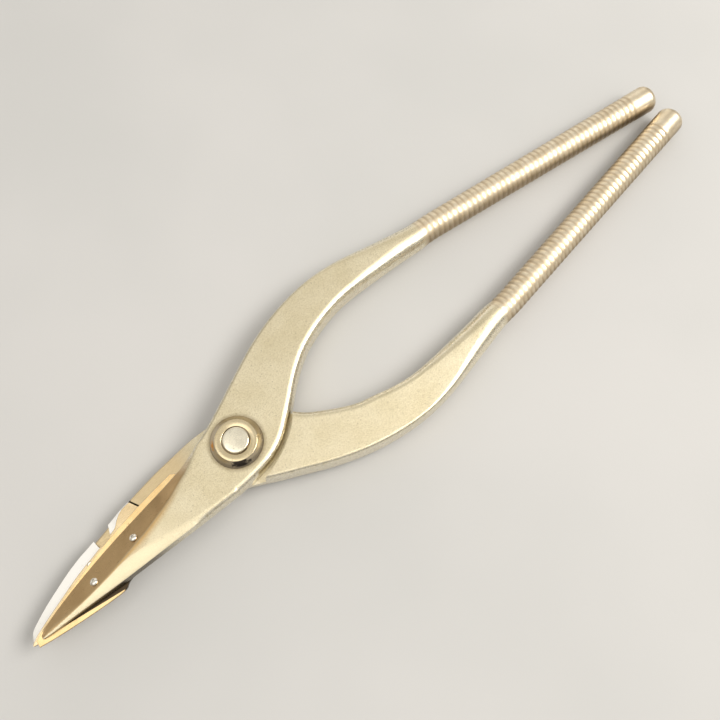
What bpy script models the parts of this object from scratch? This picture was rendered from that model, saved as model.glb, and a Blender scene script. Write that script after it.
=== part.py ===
"""Slim lap-jointed hand pliers with long leaf-shaped jaws and ring-grooved round grips.

Two forged half-lapped arms turn on one riveted pivot pin.  Each jaw carries a
thin hard plate held by two small rivets.

Frame: origin at the centre of the pivot pin's lower end, on which the tool
rests.  +Z runs up the pin, +X points to the jaw tips, the grips run to -X, and
the upper arm's grip lies on the -Y side.  Left means the -Y side and right the
+Y side.  Sizes are in mm; heights are taken from the plane where the arms lap,
LAP_Z above the origin, and every object is placed at that height.
"""
import math
import bpy
import bmesh
import numpy as np
from mathutils import Vector

MM = 0.001
UPPER, LOWER = -1, 1  # side of the midline on which each arm's grip lies

# ---------------------------------------------------------------- main dimensions
HALF_T = 4.5          # half of the arms' forged thickness
LAP_GAP = 0.1         # each lap face stands this far from the lap plane
HANDLE_MID_Y = 1.7    # the grips close about this line, beside the pivot

PIN_R = 3.82
PIN_FIT = 0.08        # running clearance of the arms' bores on the pin
PIN_EDGE_R = 0.55
PIN_END_Z = 7.7
LAP_Z = PIN_END_Z     # height of the lap plane above the pin's lower end
TURNED_SEGS = 28

PLATE_TOP = 0.05      # upper jaw plate: top face just under the upper jaw
PLATE_BOTTOM = -1.10
LOWER_PLATE_TOP = -1.27
LOWER_PLATE_BOTTOM = -2.30
LOWER_SEAT = -2.36    # floor of the lower plate's pocket

CUT_REACH = 20.0      # cutters through a whole arm reach this far up or down
CUT_TOP = 3.0         # top of the cutters that work on the jaws
JAW_CUT_X = 90.0      # jaw cutters run out here, beyond the tips
PLATE_CUT_Z = -6.0    # lower end of the cutters through the lower plate
SMOOTH_ANGLE = 35.0


# ---------------------------------------------------------------- curve helpers
def blend(start, end, share):
    return start + (end - start) * share


def smooth_step(x, start, end):
    """Ease from 0 at start to 1 at end."""
    t = min(1.0, max(0.0, (x - start) / (end - start)))
    return t * t * (3 - 2 * t)


def lookup(table, x):
    """Straight-line interpolation in a table of (x, value)."""
    xs, values = zip(*table)
    return float(np.interp(x, xs, values))


def spline(control, last_steps=2):
    """Catmull-Rom curve through rows of values, two steps to a span."""
    points = np.array(control, float)
    points = np.vstack([2 * points[0] - points[1], points, 2 * points[-1] - points[-2]])
    last_span = len(points) - 4
    rows = []
    for i in range(last_span + 1):
        p0, p1, p2, p3 = points[i:i + 4]
        steps = last_steps if i == last_span else 2
        for j in range(steps):
            t = j / steps
            rows.append(0.5 * (2 * p1 + (p2 - p0) * t
                               + (2 * p0 - 5 * p1 + 4 * p2 - p3) * t ** 2
                               + (3 * p1 - p0 - 3 * p2 + p3) * t ** 3))
    rows.append(points[-2])
    return np.array(rows)


# ---------------------------------------------------------------- mesh helpers
def metal(name, color, roughness):
    mat = bpy.data.materials.new(name)
    mat.use_nodes = True
    shader = mat.node_tree.nodes["Principled BSDF"]
    shader.inputs["Base Color"].default_value = (*color, 1)
    shader.inputs["Roughness"].default_value = roughness
    shader.inputs["Metallic"].default_value = 1.0
    return mat


def add_mesh(name, bm, mat):
    bmesh.ops.recalc_face_normals(bm, faces=bm.faces)
    mesh = bpy.data.meshes.new(name)
    bm.to_mesh(mesh)
    bm.free()
    obj = bpy.data.objects.new(name, mesh)
    bpy.context.scene.collection.objects.link(obj)
    if mat is not None:
        mesh.materials.append(mat)
    mesh.shade_smooth()
    mesh.set_sharp_from_angle(angle=math.radians(SMOOTH_ANGLE))
    obj.location.z = LAP_Z * MM
    return obj


def loft(name, rings, mat=None):
    """Skin a list of equal-length rings of (x, y, z) and close both ends."""
    bm = bmesh.new()
    vert_rings = [[bm.verts.new((x * MM, y * MM, z * MM)) for x, y, z in ring]
                  for ring in rings]
    count = len(vert_rings[0])
    for a, b in zip(vert_rings, vert_rings[1:]):
        for k in range(count):
            k2 = (k + 1) % count
            bm.faces.new((a[k], a[k2], b[k2], b[k]))
    bm.faces.new(list(reversed(vert_rings[0])))
    bm.faces.new(vert_rings[-1])
    return add_mesh(name, bm, mat)


def revolve(name, profile, mat=None, segs=TURNED_SEGS, closed_loop=False, frame=None):
    """Turn a profile of (radius, height) about an axis.

    frame is (origin, axis); the default is the pivot axis."""
    if frame:
        origin, axis = frame
        axis = axis.normalized()
        u = axis.orthogonal()
        u.normalize()
    else:
        origin, axis, u = Vector((0, 0, 0)), Vector((0, 0, 1)), Vector((1, 0, 0))
    v = axis.cross(u)
    angles = [2 * math.pi * k / segs for k in range(segs)]
    bm = bmesh.new()
    rows = []
    for radius, height in profile:
        if radius < 1e-6:
            rows.append([bm.verts.new((origin + axis * height) * MM)])
        else:
            rows.append([bm.verts.new((origin + axis * height
                                       + (u * math.cos(a) + v * math.sin(a)) * radius) * MM)
                         for a in angles])
    pairs = list(zip(rows, rows[1:]))
    if closed_loop:
        pairs.append((rows[-1], rows[0]))
    for a, b in pairs:
        for k in range(segs):
            k2 = (k + 1) % segs
            if len(a) == 1:
                bm.faces.new((a[0], b[k2], b[k]))
            elif len(b) == 1:
                bm.faces.new((a[k], a[k2], b[0]))
            else:
                bm.faces.new((a[k], a[k2], b[k2], b[k]))
    return add_mesh(name, bm, mat)


def as_cutter(obj):
    obj.hide_render = True
    obj.display_type = 'WIRE'
    return obj


def prism_cutter(name, outline, z0, z1):
    return as_cutter(loft(name, [[(x, y, z) for x, y in outline] for z in (z0, z1)]))


def cut(obj, cutter):
    modifier = obj.modifiers.new("cut_" + cutter.name, 'BOOLEAN')
    modifier.operation = 'DIFFERENCE'
    modifier.object = cutter
    modifier.solver = 'EXACT'


# ---------------------------------------------------------------- arm section
CORNER_POINTS = 4     # the crown and facet lines below also have four points each
CROWN_SLOPE = 0.16    # fall of the crown over its width
CROWN_EDGE_W = 0.1    # the crown's crisp edge: width and height
CROWN_EDGE_H = 0.12
FACET_RUNOUT = 0.45   # width over which the facet eases into the top
FACET_MARGIN = 0.12   # least flat left beside the facet
FACET_STEP = 0.1      # least width of that easing on a narrow section
FACET_FOOT_W = 0.12   # the facet steepens over this last width


def arm_ring(left, right, tops, foot, radii, full_round=0.0,
             facet=(0.0, 0.0, 0.0), crown=(0.0, 0.0), draft=0.0):
    """One section between two plan points on the side faces.

    tops and radii hold the left and right values of the top height and the
    corner radius; foot is the bottom height.
    full_round: 1 spaces the corner points evenly for a round grip; at 0 they
    meet the flats tangentially.
    facet: (share, width, edge z) turns the upper-left corner from round at
    share 0 to a broad facet at 1.
    crown: (share, width) turns the upper-right corner into a low crown that
    ends in a crisp edge.
    draft: widens the foot of the right side."""
    left, right = np.array(left, float), np.array(right, float)
    middle = (left + right) / 2
    half = np.linalg.norm(right - left) / 2
    across = (right - left) / (2 * half)
    top_left, top_right = tops
    radius_left, radius_right = radii

    crown_share, crown_width = crown
    crown_drop = CROWN_SLOPE * crown_width
    crown_line = (
        (half, top_right - crown_drop - CROWN_EDGE_H),
        (half - CROWN_EDGE_W, top_right - crown_drop),
        (half - 0.5 * crown_width, top_right - 0.25 * crown_drop),
        (half - crown_width, top_right),
    )
    facet_share, facet_width, edge_z = facet
    facet_drop = edge_z - top_left
    room = 2 * half - blend(radius_right, crown_width, crown_share) - FACET_MARGIN
    facet_line = (
        (-half + min(facet_width + FACET_RUNOUT, room), top_left),
        (-half + min(facet_width, room - FACET_STEP), top_left + 0.1 * facet_drop),
        (-half + FACET_FOOT_W, top_left + 0.97 * facet_drop),
        (-half, top_left + 1.06 * facet_drop),
    )
    # side, height of the arc centre, radius: anticlockwise from upper right
    corners = (
        (1, top_right - radius_right, radius_right),
        (-1, top_left - radius_left, radius_left),
        (-1, foot + radius_left, radius_left),
        (1, foot + radius_right, radius_right),
    )
    points = []
    for quarter, (sign, centre_z, radius) in enumerate(corners):
        for k in range(CORNER_POINTS):
            tangent = 90.0 * k / (CORNER_POINTS - 1)
            even = 90.0 * (k + 0.5) / CORNER_POINTS
            angle = math.radians(90 * quarter + blend(tangent, even, full_round))
            u = sign * (half - radius) + radius * math.cos(angle)
            z = centre_z + radius * math.sin(angle)
            if quarter == 0:
                u = blend(u, crown_line[k][0], crown_share)
                z = blend(z, crown_line[k][1], crown_share)
            elif quarter == 1:
                u = blend(u, facet_line[k][0], facet_share)
                z = blend(z, facet_line[k][1], facet_share)
            elif quarter == 3:
                u += draft
            x, y = middle + across * u
            points.append((x, y, z))
    return points


# ---------------------------------------------------------------- grips
GRIP_START = 89.0     # distance from the pivot to the first ring
RING_PITCH = 2.0
RING_COUNT = 45
RING_DEPTH = 0.18
LAST_RING = GRIP_START + RING_PITCH * RING_COUNT
GRIP_R0 = 4.36        # grip radius at the first ring
GRIP_TAPER = 0.0042   # radius gained per mm towards the free end
GRIP_D0 = 18.69       # straight part of the grip axis, run back to the first ring
GRIP_SLOPE = 0.132    # each grip axis nears the midline by this much per mm
GRIP_TILT = math.atan(GRIP_SLOPE)
GRIP_BOW = 0.0065     # the first few rings follow the bow of the handle
GRIP_BOW_END = 95.5
GRIP_END = 188.4
END_ROUND = 2.3       # edge radius of the free end
HANDLE_LEAD = 0.4     # the handle's first section stands this far ahead of the rings


def grip_axis(distance):
    bow = GRIP_BOW * max(0.0, GRIP_BOW_END - distance) ** 2
    return GRIP_D0 - GRIP_SLOPE * (distance - GRIP_START) - bow


def grip_radius(distance):
    return GRIP_R0 + GRIP_TAPER * (distance - GRIP_START)


def grip_rings(side):
    """Sections of the grip from the free end to the first ring."""
    stations = []     # distance from the pivot, radius
    for degrees in (0.0, 30.0, 60.0, 90.0):
        angle = math.radians(degrees)
        stations.append((GRIP_END - END_ROUND * (1 - math.cos(angle)),
                         grip_radius(GRIP_END) - END_ROUND * (1 - math.sin(angle))))
    stations.append((LAST_RING, grip_radius(LAST_RING)))
    for i in range(RING_COUNT):
        crest = LAST_RING - RING_PITCH * i
        next_crest = crest - RING_PITCH
        stations.append((crest - 0.5 * RING_PITCH, grip_radius(crest) - RING_DEPTH))
        stations.append((next_crest, grip_radius(next_crest)))

    leftward = np.array((side * math.sin(GRIP_TILT), -math.cos(GRIP_TILT)))
    rings = []
    for distance, radius in stations:
        centre = np.array((-distance, HANDLE_MID_Y + side * grip_axis(distance)))
        rings.append(arm_ring(centre + leftward * radius, centre - leftward * radius,
                              (radius, radius), -radius, (radius, radius), full_round=1.0))
    return rings


# ---------------------------------------------------------------- arm plan
# Each row pairs a point on the outer side with one on the inner side, as
# distance back from the pivot and distance from the midline for each.  The last
# column is added to the inner distance on the lower arm, slimmer at the shoulder.
HANDLE_RIBS = [
    (86.0, 23.1, 85.0, 14.1, 0.0),
    (78.0, 24.6, 77.4, 14.8, 0.0),
    (70.0, 26.1, 69.6, 15.4, 0.0),
    (61.0, 27.7, 61.0, 16.0, 0.0),
    (52.5, 28.4, 53.5, 16.1, 0.0),
    (44.5, 28.2, 47.0, 15.2, 0.0),
    (36.5, 27.1, 40.5, 13.5, 0.0),
    (29.0, 25.3, 34.5, 11.2, 0.6),
    (22.0, 22.9, 29.2, 8.1, 1.1),
    (15.5, 20.1, 24.6, 4.7, 1.7),
]
# outer x, outer y, inner x, inner y, from the shoulder to the jaw root
UPPER_LAP_RIBS = [
    (-9.3, -15.5, -20.4, 0.6),
    (-3.4, -12.7, -15.8, 4.3),
    (1.8, -10.3, -10.6, 8.0),
    (6.2, -8.5, -4.6, 10.4),
    (9.8, -7.2, 1.6, 11.4),
    (13.2, -6.0, 8.0, 11.8),
    (16.6, -5.1, 14.2, 11.6),
]
LOWER_LAP_RIBS = [
    (-9.3, 18.7, -20.8, 5.4),
    (-3.6, 15.9, -17.3, 1.6),
    (1.6, 13.1, -12.6, -3.9),
    (6.0, 10.9, -7.2, -7.9),
    (10.0, 9.2, -1.0, -10.1),
    (14.0, 7.8, 5.8, -10.9),
    (18.0, 6.9, 12.4, -11.0),
]
# x, left y, right y
UPPER_JAW = [
    (20.0, -4.8, 11.3), (26.0, -4.1, 10.9), (34.0, -3.0, 10.5), (42.0, -1.8, 10.1),
    (50.0, -0.3, 9.6), (58.0, 1.5, 8.9), (65.0, 3.3, 8.3), (70.0, 5.0, 7.9), (72.2, 6.2, 7.6),
]
LOWER_JAW = [
    (22.0, -10.3, 6.4), (28.0, -9.5, 6.2), (33.0, -8.7, 6.2), (38.0, -7.8, 6.3),
    (44.0, -6.3, 6.6), (50.0, -4.9, 7.0), (58.0, -2.8, 7.3), (65.0, -0.1, 7.4),
    (71.0, 2.6, 7.3), (74.4, 5.0, 7.0),
]

# Jaw heights, radii and widths along the arm: x, value
UPPER_TOP = [(0, 4.5), (20, 4.5), (30, 4.4), (40, 4.1), (50, 3.6), (60, 2.65), (70, 1.35),
             (73, 0.95)]
UPPER_EDGE_R = [(11, 1.9), (40, 2.2), (50, 1.9), (58, 1.3), (65, 0.7), (73, 0.3)]
CROWN_W = [(14, 1.9), (22, 2.4), (30, 3.2), (38, 4.0), (44, 4.1), (50, 3.1), (58, 1.75),
           (65, 0.95), (70, 0.5), (73, 0.25)]
FACET_W = [(4, 0.4), (9, 1.1), (14, 1.9), (19, 2.9), (24.5, 4.6), (30, 5.6), (36, 6.4),
           (44, 6.4), (50, 6.2), (58, 5.2), (65, 3.6), (70, 1.9), (73, 0.6)]
FACET_Z = [(4, 4.1), (9, 3.7), (14, 3.1), (19, 2.1), (24.5, 0.85), (30, 0.6), (73, 0.5)]
LOWER_FOOT = [(0, -4.5), (20, -4.5), (35, -4.25), (50, -3.85), (65, -3.4), (75, -3.1)]

# Handle section
ROUNDING_SPAN = (57.0, 87.0)    # distances back over which the handle turns round
MAX_ROUND_HALF_T = 4.6
R_OUTER = 1.2                   # edge radius on the outer side of an arm
R_INNER = 2.3                   # softer edge radius on the inner side

# Upper jaw section; the spans are the x over which a feature grows
UPPER_JAW_X = 11.0              # the section changes from handle to jaw here
UPPER_JAW_FOOT = -1.5           # what lies below the lap plane is cut away later
UPPER_LEFT_R = 0.4
FACET_SPAN = (1.0, 6.0)
CROWN_SPAN = (14.0, 26.0)
DRAFT_SPAN = (12.0, 27.0)
DRAFT = 0.35
DRAFT_END_X = 74.0              # the draft fades out to this x
DRAFT_FADE = 20.0

# Lower lap and jaw section
LOWER_LAP_SPAN = (-4.0, 1.0)    # x over which the handle section becomes the lap
LOWER_JAW_X = 19.0              # both sides have one top height beyond here
LOWER_SEAT_X = 40.0             # the top follows the ramp to here, then the seat
LOWER_LAP_RIGHT_Z = 0.15
LOWER_LAP_LEFT_R = 1.3
LOWER_TIP_LEFT_R = 0.9
RAMP_EDGE_SHIFT_Y = 1.6         # left edge is moved by this to find its ramp radius
RAMP_STOCK = 0.02               # waste left above the ramp and above the seat
SEAT_STOCK = 0.03

BOSS_R = 9.0                    # the lap face is level out to here, then ramps down
RAMP_R = 18.5
RAMP_Z = -1.25

TIP_SCALE = 0.7                 # each jaw tip ends in one smaller section
TIP_STEP = 0.35


def handle_rows(side):
    """Outer and inner edge points of the handle, from the first ring forwards."""
    distance = GRIP_START - HANDLE_LEAD
    axis_y, radius = grip_axis(distance), grip_radius(distance)
    dx, dy = radius * math.sin(GRIP_TILT), radius * math.cos(GRIP_TILT)
    rows = [(-distance - dx, HANDLE_MID_Y + side * (axis_y + dy),
             -distance + dx, HANDLE_MID_Y + side * (axis_y - dy))]
    for outer_back, outer_off, inner_back, inner_off, lower_extra in HANDLE_RIBS:
        if side == LOWER:
            inner_off += lower_extra
        rows.append((-outer_back, HANDLE_MID_Y + side * outer_off,
                     -inner_back, HANDLE_MID_Y + side * inner_off))
    return rows


def handle_section(outer, inner, mid_x):
    """Share of roundness, half thickness, outer and inner edge radius."""
    share = smooth_step(-mid_x, *ROUNDING_SPAN)      # 0 flat forging, 1 round grip
    half_width = np.linalg.norm(outer - inner) / 2
    half_t = blend(HALF_T, min(half_width, MAX_ROUND_HALF_T), share)
    full_radius = min(half_width, half_t)
    return share, half_t, blend(R_OUTER, full_radius, share), blend(R_INNER, full_radius, share)


def upper_section(outer, inner):
    mid_x = (outer[0] + inner[0]) / 2
    facet = (smooth_step(mid_x, *FACET_SPAN), lookup(FACET_W, mid_x), lookup(FACET_Z, mid_x))
    if mid_x < UPPER_JAW_X:
        share, half_t, outer_r, inner_r = handle_section(outer, inner, mid_x)
        return arm_ring(outer, inner, (half_t, half_t), -half_t, (outer_r, inner_r),
                        full_round=share, facet=facet)
    top = lookup(UPPER_TOP, mid_x)
    fade = min(1.0, (DRAFT_END_X - mid_x) / DRAFT_FADE)
    return arm_ring(outer, inner, (top, top), UPPER_JAW_FOOT,
                    (UPPER_LEFT_R, lookup(UPPER_EDGE_R, mid_x)), facet=facet,
                    crown=(smooth_step(mid_x, *CROWN_SPAN), lookup(CROWN_W, mid_x)),
                    draft=DRAFT * smooth_step(mid_x, *DRAFT_SPAN) * fade)


def ramp_z(radius):
    """Height of the lower arm's lap face at a radius from the pivot."""
    share = min(1.0, max(0.0, (radius - BOSS_R) / (RAMP_R - BOSS_R)))
    return blend(-LAP_GAP, RAMP_Z, share)


def lower_section(outer, inner):
    mid_x = (outer[0] + inner[0]) / 2
    if mid_x < LOWER_LAP_SPAN[0]:
        share, half_t, outer_r, inner_r = handle_section(outer, inner, mid_x)
        return arm_ring(inner, outer, (half_t, half_t), -half_t, (inner_r, outer_r),
                        full_round=share)
    share = smooth_step(mid_x, *LOWER_LAP_SPAN)
    if mid_x < LOWER_SEAT_X:
        left_z = ramp_z(math.hypot(inner[0], inner[1] + RAMP_EDGE_SHIFT_Y)) + RAMP_STOCK
        left_r = blend(R_INNER, LOWER_LAP_LEFT_R, share)
    else:
        left_z = LOWER_SEAT + SEAT_STOCK
        left_r = LOWER_TIP_LEFT_R
    left_z = blend(HALF_T, left_z, share)
    right_z = blend(HALF_T, LOWER_LAP_RIGHT_Z, share) if mid_x < LOWER_JAW_X else left_z
    right_r = R_OUTER
    foot = lookup(LOWER_FOOT, mid_x)
    if mid_x > LOWER_JAW_X:
        # keep the corner arcs within the thin jaw
        left_r = min(left_r, (left_z - foot) * 0.45)
        right_r = min(right_r, (right_z - foot) * 0.4)
    return arm_ring(inner, outer, (left_z, right_z), foot, (left_r, right_r))


def tip_ring(rings):
    """A smaller section beyond the last one, to blunt the jaw tip."""
    last = np.array(rings[-1])
    centre = last.mean(axis=0)
    forward = centre - np.array(rings[-2]).mean(axis=0)
    forward[2] = 0
    forward /= np.linalg.norm(forward)
    return [tuple(p) for p in centre + (last - centre) * TIP_SCALE + forward * TIP_STEP]


def build_arm(name, side, lap_ribs, jaw):
    control = handle_rows(side) + lap_ribs
    for x, left_y, right_y in jaw:
        # the upper arm's outer line runs on as the jaw's left side, the lower's as its right
        outer_y, inner_y = (left_y, right_y) if side == UPPER else (right_y, left_y)
        control.append((x, outer_y, x, inner_y))
    section = upper_section if side == UPPER else lower_section
    rings = grip_rings(side)
    rings += [section(row[:2], row[2:]) for row in spline(control, last_steps=1)]
    rings.append(tip_ring(rings))
    return loft(name, rings, SATIN)


# ---------------------------------------------------------------- arm cutters
# shoulder of the lower arm's lap: x, y
SHOULDER = [
    (-19.8, -12.0), (-19.3, -3.0), (-18.8, 1.0), (-17.9, 3.5), (-15.4, 6.3), (-11.5, 9.0),
    (-7.2, 11.2), (-2.6, 12.8), (0.9, 13.7), (5.0, 15.2),
]
# the cut runs out around the jaws through these points
SHOULDER_RUNOUT = [(10.0, 40.0), (95.0, 40.0), (95.0, -40.0), (-19.8, -40.0)]
SHOULDER_MIRROR = 0.5           # y of the two shoulders, summed
RAMP_OVERCUT = 0.001            # the ramp starts this far under the lap face
RAMP_SEGS = 64
# plan of the handle side, where the ramp cutter is removed
RAMP_SIDE = [(-95, -95), (-4.0, -95), (2.0, 0), (2.0, 95), (-95, 95)]
RAMP_SIDE_REACH = 30.0

# The rear wall of the lower plate's pocket crosses the jaw at a slant.
SLIT_LEFT = np.array((34.0, -9.0))
SLIT_RIGHT = np.array((26.5, 7.0))
SLIT_OVERRUN = 10.0             # the cutters run past both points by this much
SLIT_GAP = 0.5                  # open butt joint behind the plate
SLIT_ALONG = (SLIT_RIGHT - SLIT_LEFT) / np.linalg.norm(SLIT_RIGHT - SLIT_LEFT)
SLIT_FORWARD = np.array((SLIT_ALONG[1], -SLIT_ALONG[0]))


def shoulder_outline(side):
    """Plan of the lap cut in one arm: everything ahead of the shoulder."""
    outline = [(x, y) for x, y in spline(SHOULDER)] + SHOULDER_RUNOUT
    if side == UPPER:
        outline = [(x, SHOULDER_MIRROR - y) for x, y in outline][::-1]
    return outline


def slit_ends(offset):
    """Left and right end of the slanted wall, moved forwards by offset."""
    shift = SLIT_FORWARD * offset
    return (tuple(SLIT_LEFT - SLIT_ALONG * SLIT_OVERRUN + shift),
            tuple(SLIT_RIGHT + SLIT_ALONG * SLIT_OVERRUN + shift))


def ramp_cutter():
    profile = [(BOSS_R, CUT_TOP), (BOSS_R, -LAP_GAP - RAMP_OVERCUT), (RAMP_R, RAMP_Z),
               (JAW_CUT_X, RAMP_Z), (JAW_CUT_X, CUT_TOP)]
    cutter = as_cutter(revolve("cutter_ramp", profile, segs=RAMP_SEGS, closed_loop=True))
    # the ramp is only for the jaw side of the lower arm
    cut(cutter, prism_cutter("cutter_ramp_side", RAMP_SIDE, -RAMP_SIDE_REACH, RAMP_SIDE_REACH))
    return cutter


def bore_cutter():
    radius = PIN_R + PIN_FIT
    return as_cutter(revolve("cutter_bore", [(0, -CUT_REACH), (radius, -CUT_REACH),
                                             (radius, CUT_REACH), (0, CUT_REACH)]))


def pocket_cutter():
    left, right = slit_ends(0.0)
    outline = [left, (JAW_CUT_X, left[1]), (JAW_CUT_X, right[1]), right]
    return prism_cutter("cutter_pocket", outline, LOWER_SEAT, CUT_TOP)


# ---------------------------------------------------------------- upper jaw plate
# x, y: left edge towards the tip, then right edge back from it
UPPER_PLATE_LEFT = [
    (20.3, -6.6), (27.0, -5.8), (36.0, -4.5), (44.0, -3.0), (51.0, -1.2),
    (58.0, 0.8), (64.0, 2.5), (70.0, 4.6), (74.3, 6.4),
]
UPPER_PLATE_RIGHT = [
    (74.5, 8.4), (69.0, 9.4), (60.0, 10.6), (53.0, 11.3), (48.6, 11.4),
    (46.4, 10.3), (42.0, 9.4), (36.0, 9.2), (28.0, 9.0), (19.5, 8.6),
]
PLATE_REAR_R = 19.0             # the rear end follows this arc about the pivot
PLATE_REAR_START = math.atan2(8.2, 17.2)
PLATE_REAR_STOP = math.atan2(-5.0, 18.33)
PLATE_REAR_STEPS = 6
PLATE_CHAMFER = 0.15


def upper_plate_outline():
    """Plan of the upper plate, clockwise seen from above."""
    points = [tuple(p) for edge in (UPPER_PLATE_LEFT, UPPER_PLATE_RIGHT) for p in spline(edge)]
    for k in range(PLATE_REAR_STEPS + 1):
        angle = blend(PLATE_REAR_START, PLATE_REAR_STOP, k / PLATE_REAR_STEPS)
        points.append((PLATE_REAR_R * math.cos(angle), PLATE_REAR_R * math.sin(angle)))
    return points[::-1]


def build_upper_plate():
    """Flat plate with a small chamfer along its top and bottom edges."""
    outline = np.array(upper_plate_outline())
    inset = []
    for i, point in enumerate(outline):
        before = point - outline[i - 1]
        after = outline[(i + 1) % len(outline)] - point
        along = before / np.linalg.norm(before) + after / np.linalg.norm(after)
        along /= np.linalg.norm(along)
        inset.append(point + PLATE_CHAMFER * np.array((along[1], -along[0])))
    levels = ((inset, PLATE_BOTTOM), (outline, PLATE_BOTTOM + PLATE_CHAMFER),
              (outline, PLATE_TOP - PLATE_CHAMFER), (inset, PLATE_TOP))
    return loft("upper_jaw_plate", [[(x, y, z) for x, y in plan] for plan, z in levels], PLATE)


# ---------------------------------------------------------------- lower jaw plate
# x, left edge y, width of the bevel there, height of the bevel's edge, right edge y
LOWER_PLATE = [
    (26.0, -8.9, 0.35, -1.55, 6.5), (34.0, -8.4, 0.35, -1.55, 6.6),
    (37.6, -7.9, 0.4, -1.55, 6.7), (39.6, -7.5, 1.2, -1.75, 6.8),
    (41.4, -7.1, 2.4, -1.95, 6.85), (43.6, -6.7, 2.7, -2.0, 6.9),
    (47.5, -5.9, 2.9, -2.1, 7.1), (50.5, -5.3, 3.1, -2.1, 7.2),
    (54.0, -4.6, 3.2, -2.1, 7.3), (58.0, -3.5, 3.2, -2.1, 7.4),
    (62.5, -1.9, 3.1, -2.1, 7.5), (67.0, -0.2, 2.9, -2.1, 7.5),
    (71.0, 1.6, 2.5, -2.1, 7.4), (74.2, 3.4, 1.9, -2.1, 7.2),
    (76.0, 6.0, 0.5, -2.1, 6.9),
]
LOWER_PLATE_MIN_FLAT = 0.3      # least flat left beside the bevel
LOWER_PLATE_CHAMFER = 0.12      # along the right edge

# Open notch in the left edge: slanted rear wall, rounded front wall
NOTCH_REAR = [(41.6, -9.0), (43.9, -2.7)]
NOTCH_ARC_X, NOTCH_ARC_Y = 47.0, -3.6
NOTCH_ARC_R = 0.9
NOTCH_FRONT = (48.5, -9.0)


def notch_outline():
    points = list(NOTCH_REAR)
    for k in range(5):
        angle = math.radians(90 - 22.5 * k)
        points.append((NOTCH_ARC_X + NOTCH_ARC_R * math.cos(angle),
                       NOTCH_ARC_Y + NOTCH_ARC_R * math.sin(angle)))
    points.append(NOTCH_FRONT)
    return points[::-1]


def build_lower_plate():
    rings = []
    for x, left_y, bevel, edge_z, right_y in spline(LOWER_PLATE):
        bevel = min(bevel, right_y - left_y - LOWER_PLATE_MIN_FLAT)
        rings.append([(x, left_y, LOWER_PLATE_BOTTOM),
                      (x, left_y, edge_z),
                      (x, left_y + bevel, LOWER_PLATE_TOP),
                      (x, right_y - LOWER_PLATE_CHAMFER, LOWER_PLATE_TOP),
                      (x, right_y, LOWER_PLATE_TOP - LOWER_PLATE_CHAMFER),
                      (x, right_y, LOWER_PLATE_BOTTOM)])
    plate = loft("lower_jaw_plate", rings, PLATE)
    left, right = slit_ends(SLIT_GAP)
    rear = [(0, left[1]), left, right, (0, right[1])]
    cut(plate, prism_cutter("cutter_plate_rear", rear, PLATE_CUT_Z, CUT_TOP))
    cut(plate, prism_cutter("cutter_notch", notch_outline(), PLATE_CUT_Z, CUT_TOP))
    return plate


# ---------------------------------------------------------------- rivets
# name: plan point x, y
UPPER_RIVETS = {"upper_plate_rivet_front": (53.4, 4.6), "upper_plate_rivet_rear": (38.4, 2.1)}
LOWER_RIVETS = {"lower_plate_rivet_front": (52.3, -0.95), "lower_plate_rivet_rear": (40.0, 0.5)}
RIVET_R = 0.75
RIVET_HEAD_R = 1.2
RIVET_HEAD_H = 0.75
RIVET_FIT = 0.06
RIVET_SEGS = 12
DOME_STEPS = 3
UPPER_HEAD_LIFT = 0.12          # the heads stand this far off the jaws
LOWER_HEAD_LIFT = 0.14
TAIL_EXTRA = 0.8                # upper rivets' extra length before trimming
TAIL_RECESS = 0.06              # rivet ends lie this far inside the plates' faces
UPPER_HOLE_EXTRA = 3.0          # upper holes run this far past the rivet's tail


def facet_point(x, y):
    """Height and tilt of the upper jaw's facet under a plan point."""
    left_y = lookup([(row[0], row[1]) for row in UPPER_JAW], x)
    edge_z, width = lookup(FACET_Z, x), lookup(FACET_W, x)
    rise = lookup(UPPER_TOP, x) - edge_z
    return edge_z + rise * (y - left_y) / width, math.atan2(rise, width)


def add_rivet(name, frame, tail, lift, hole_end, drilled):
    """Domed rivet along a frame's axis, and its hole through the drilled parts."""
    profile = [(0, tail), (RIVET_R, tail), (RIVET_R, lift)]
    for k in range(DOME_STEPS + 1):
        angle = math.radians(90 * k / DOME_STEPS)
        profile.append((RIVET_HEAD_R * math.cos(angle), lift + RIVET_HEAD_H * math.sin(angle)))
    rivet = revolve(name, profile, POLISH, RIVET_SEGS, frame=frame)
    radius = RIVET_R + RIVET_FIT
    hole = as_cutter(revolve("cutter_hole_" + name,
                             [(0, hole_end), (radius, hole_end), (radius, CUT_TOP), (0, CUT_TOP)],
                             segs=RIVET_SEGS, frame=frame))
    for part in drilled:
        cut(part, hole)
    return rivet


def add_upper_rivet(name, x, y, drilled):
    z, tilt = facet_point(x, y)
    frame = (Vector((x, y, z)), Vector((0, -math.sin(tilt), math.cos(tilt))))
    tail = -(z - PLATE_BOTTOM) / math.cos(tilt) - TAIL_EXTRA
    rivet = add_rivet(name, frame, tail, UPPER_HEAD_LIFT, tail - UPPER_HOLE_EXTRA, drilled)
    # the tail is trimmed level, just inside the plate's underside
    around = [(x - 5, y - 5), (x + 5, y - 5), (x + 5, y + 8), (x - 5, y + 8)]
    cut(rivet, prism_cutter("cutter_tail_" + name, around, -8, PLATE_BOTTOM + TAIL_RECESS))
    return rivet


def add_lower_rivet(name, x, y, drilled):
    foot = lookup(LOWER_FOOT, x)
    frame = (Vector((x, y, foot)), Vector((0, 0, -1)))
    tail = -(LOWER_PLATE_TOP - TAIL_RECESS - foot)
    add_rivet(name, frame, tail, LOWER_HEAD_LIFT, -6, drilled)


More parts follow.
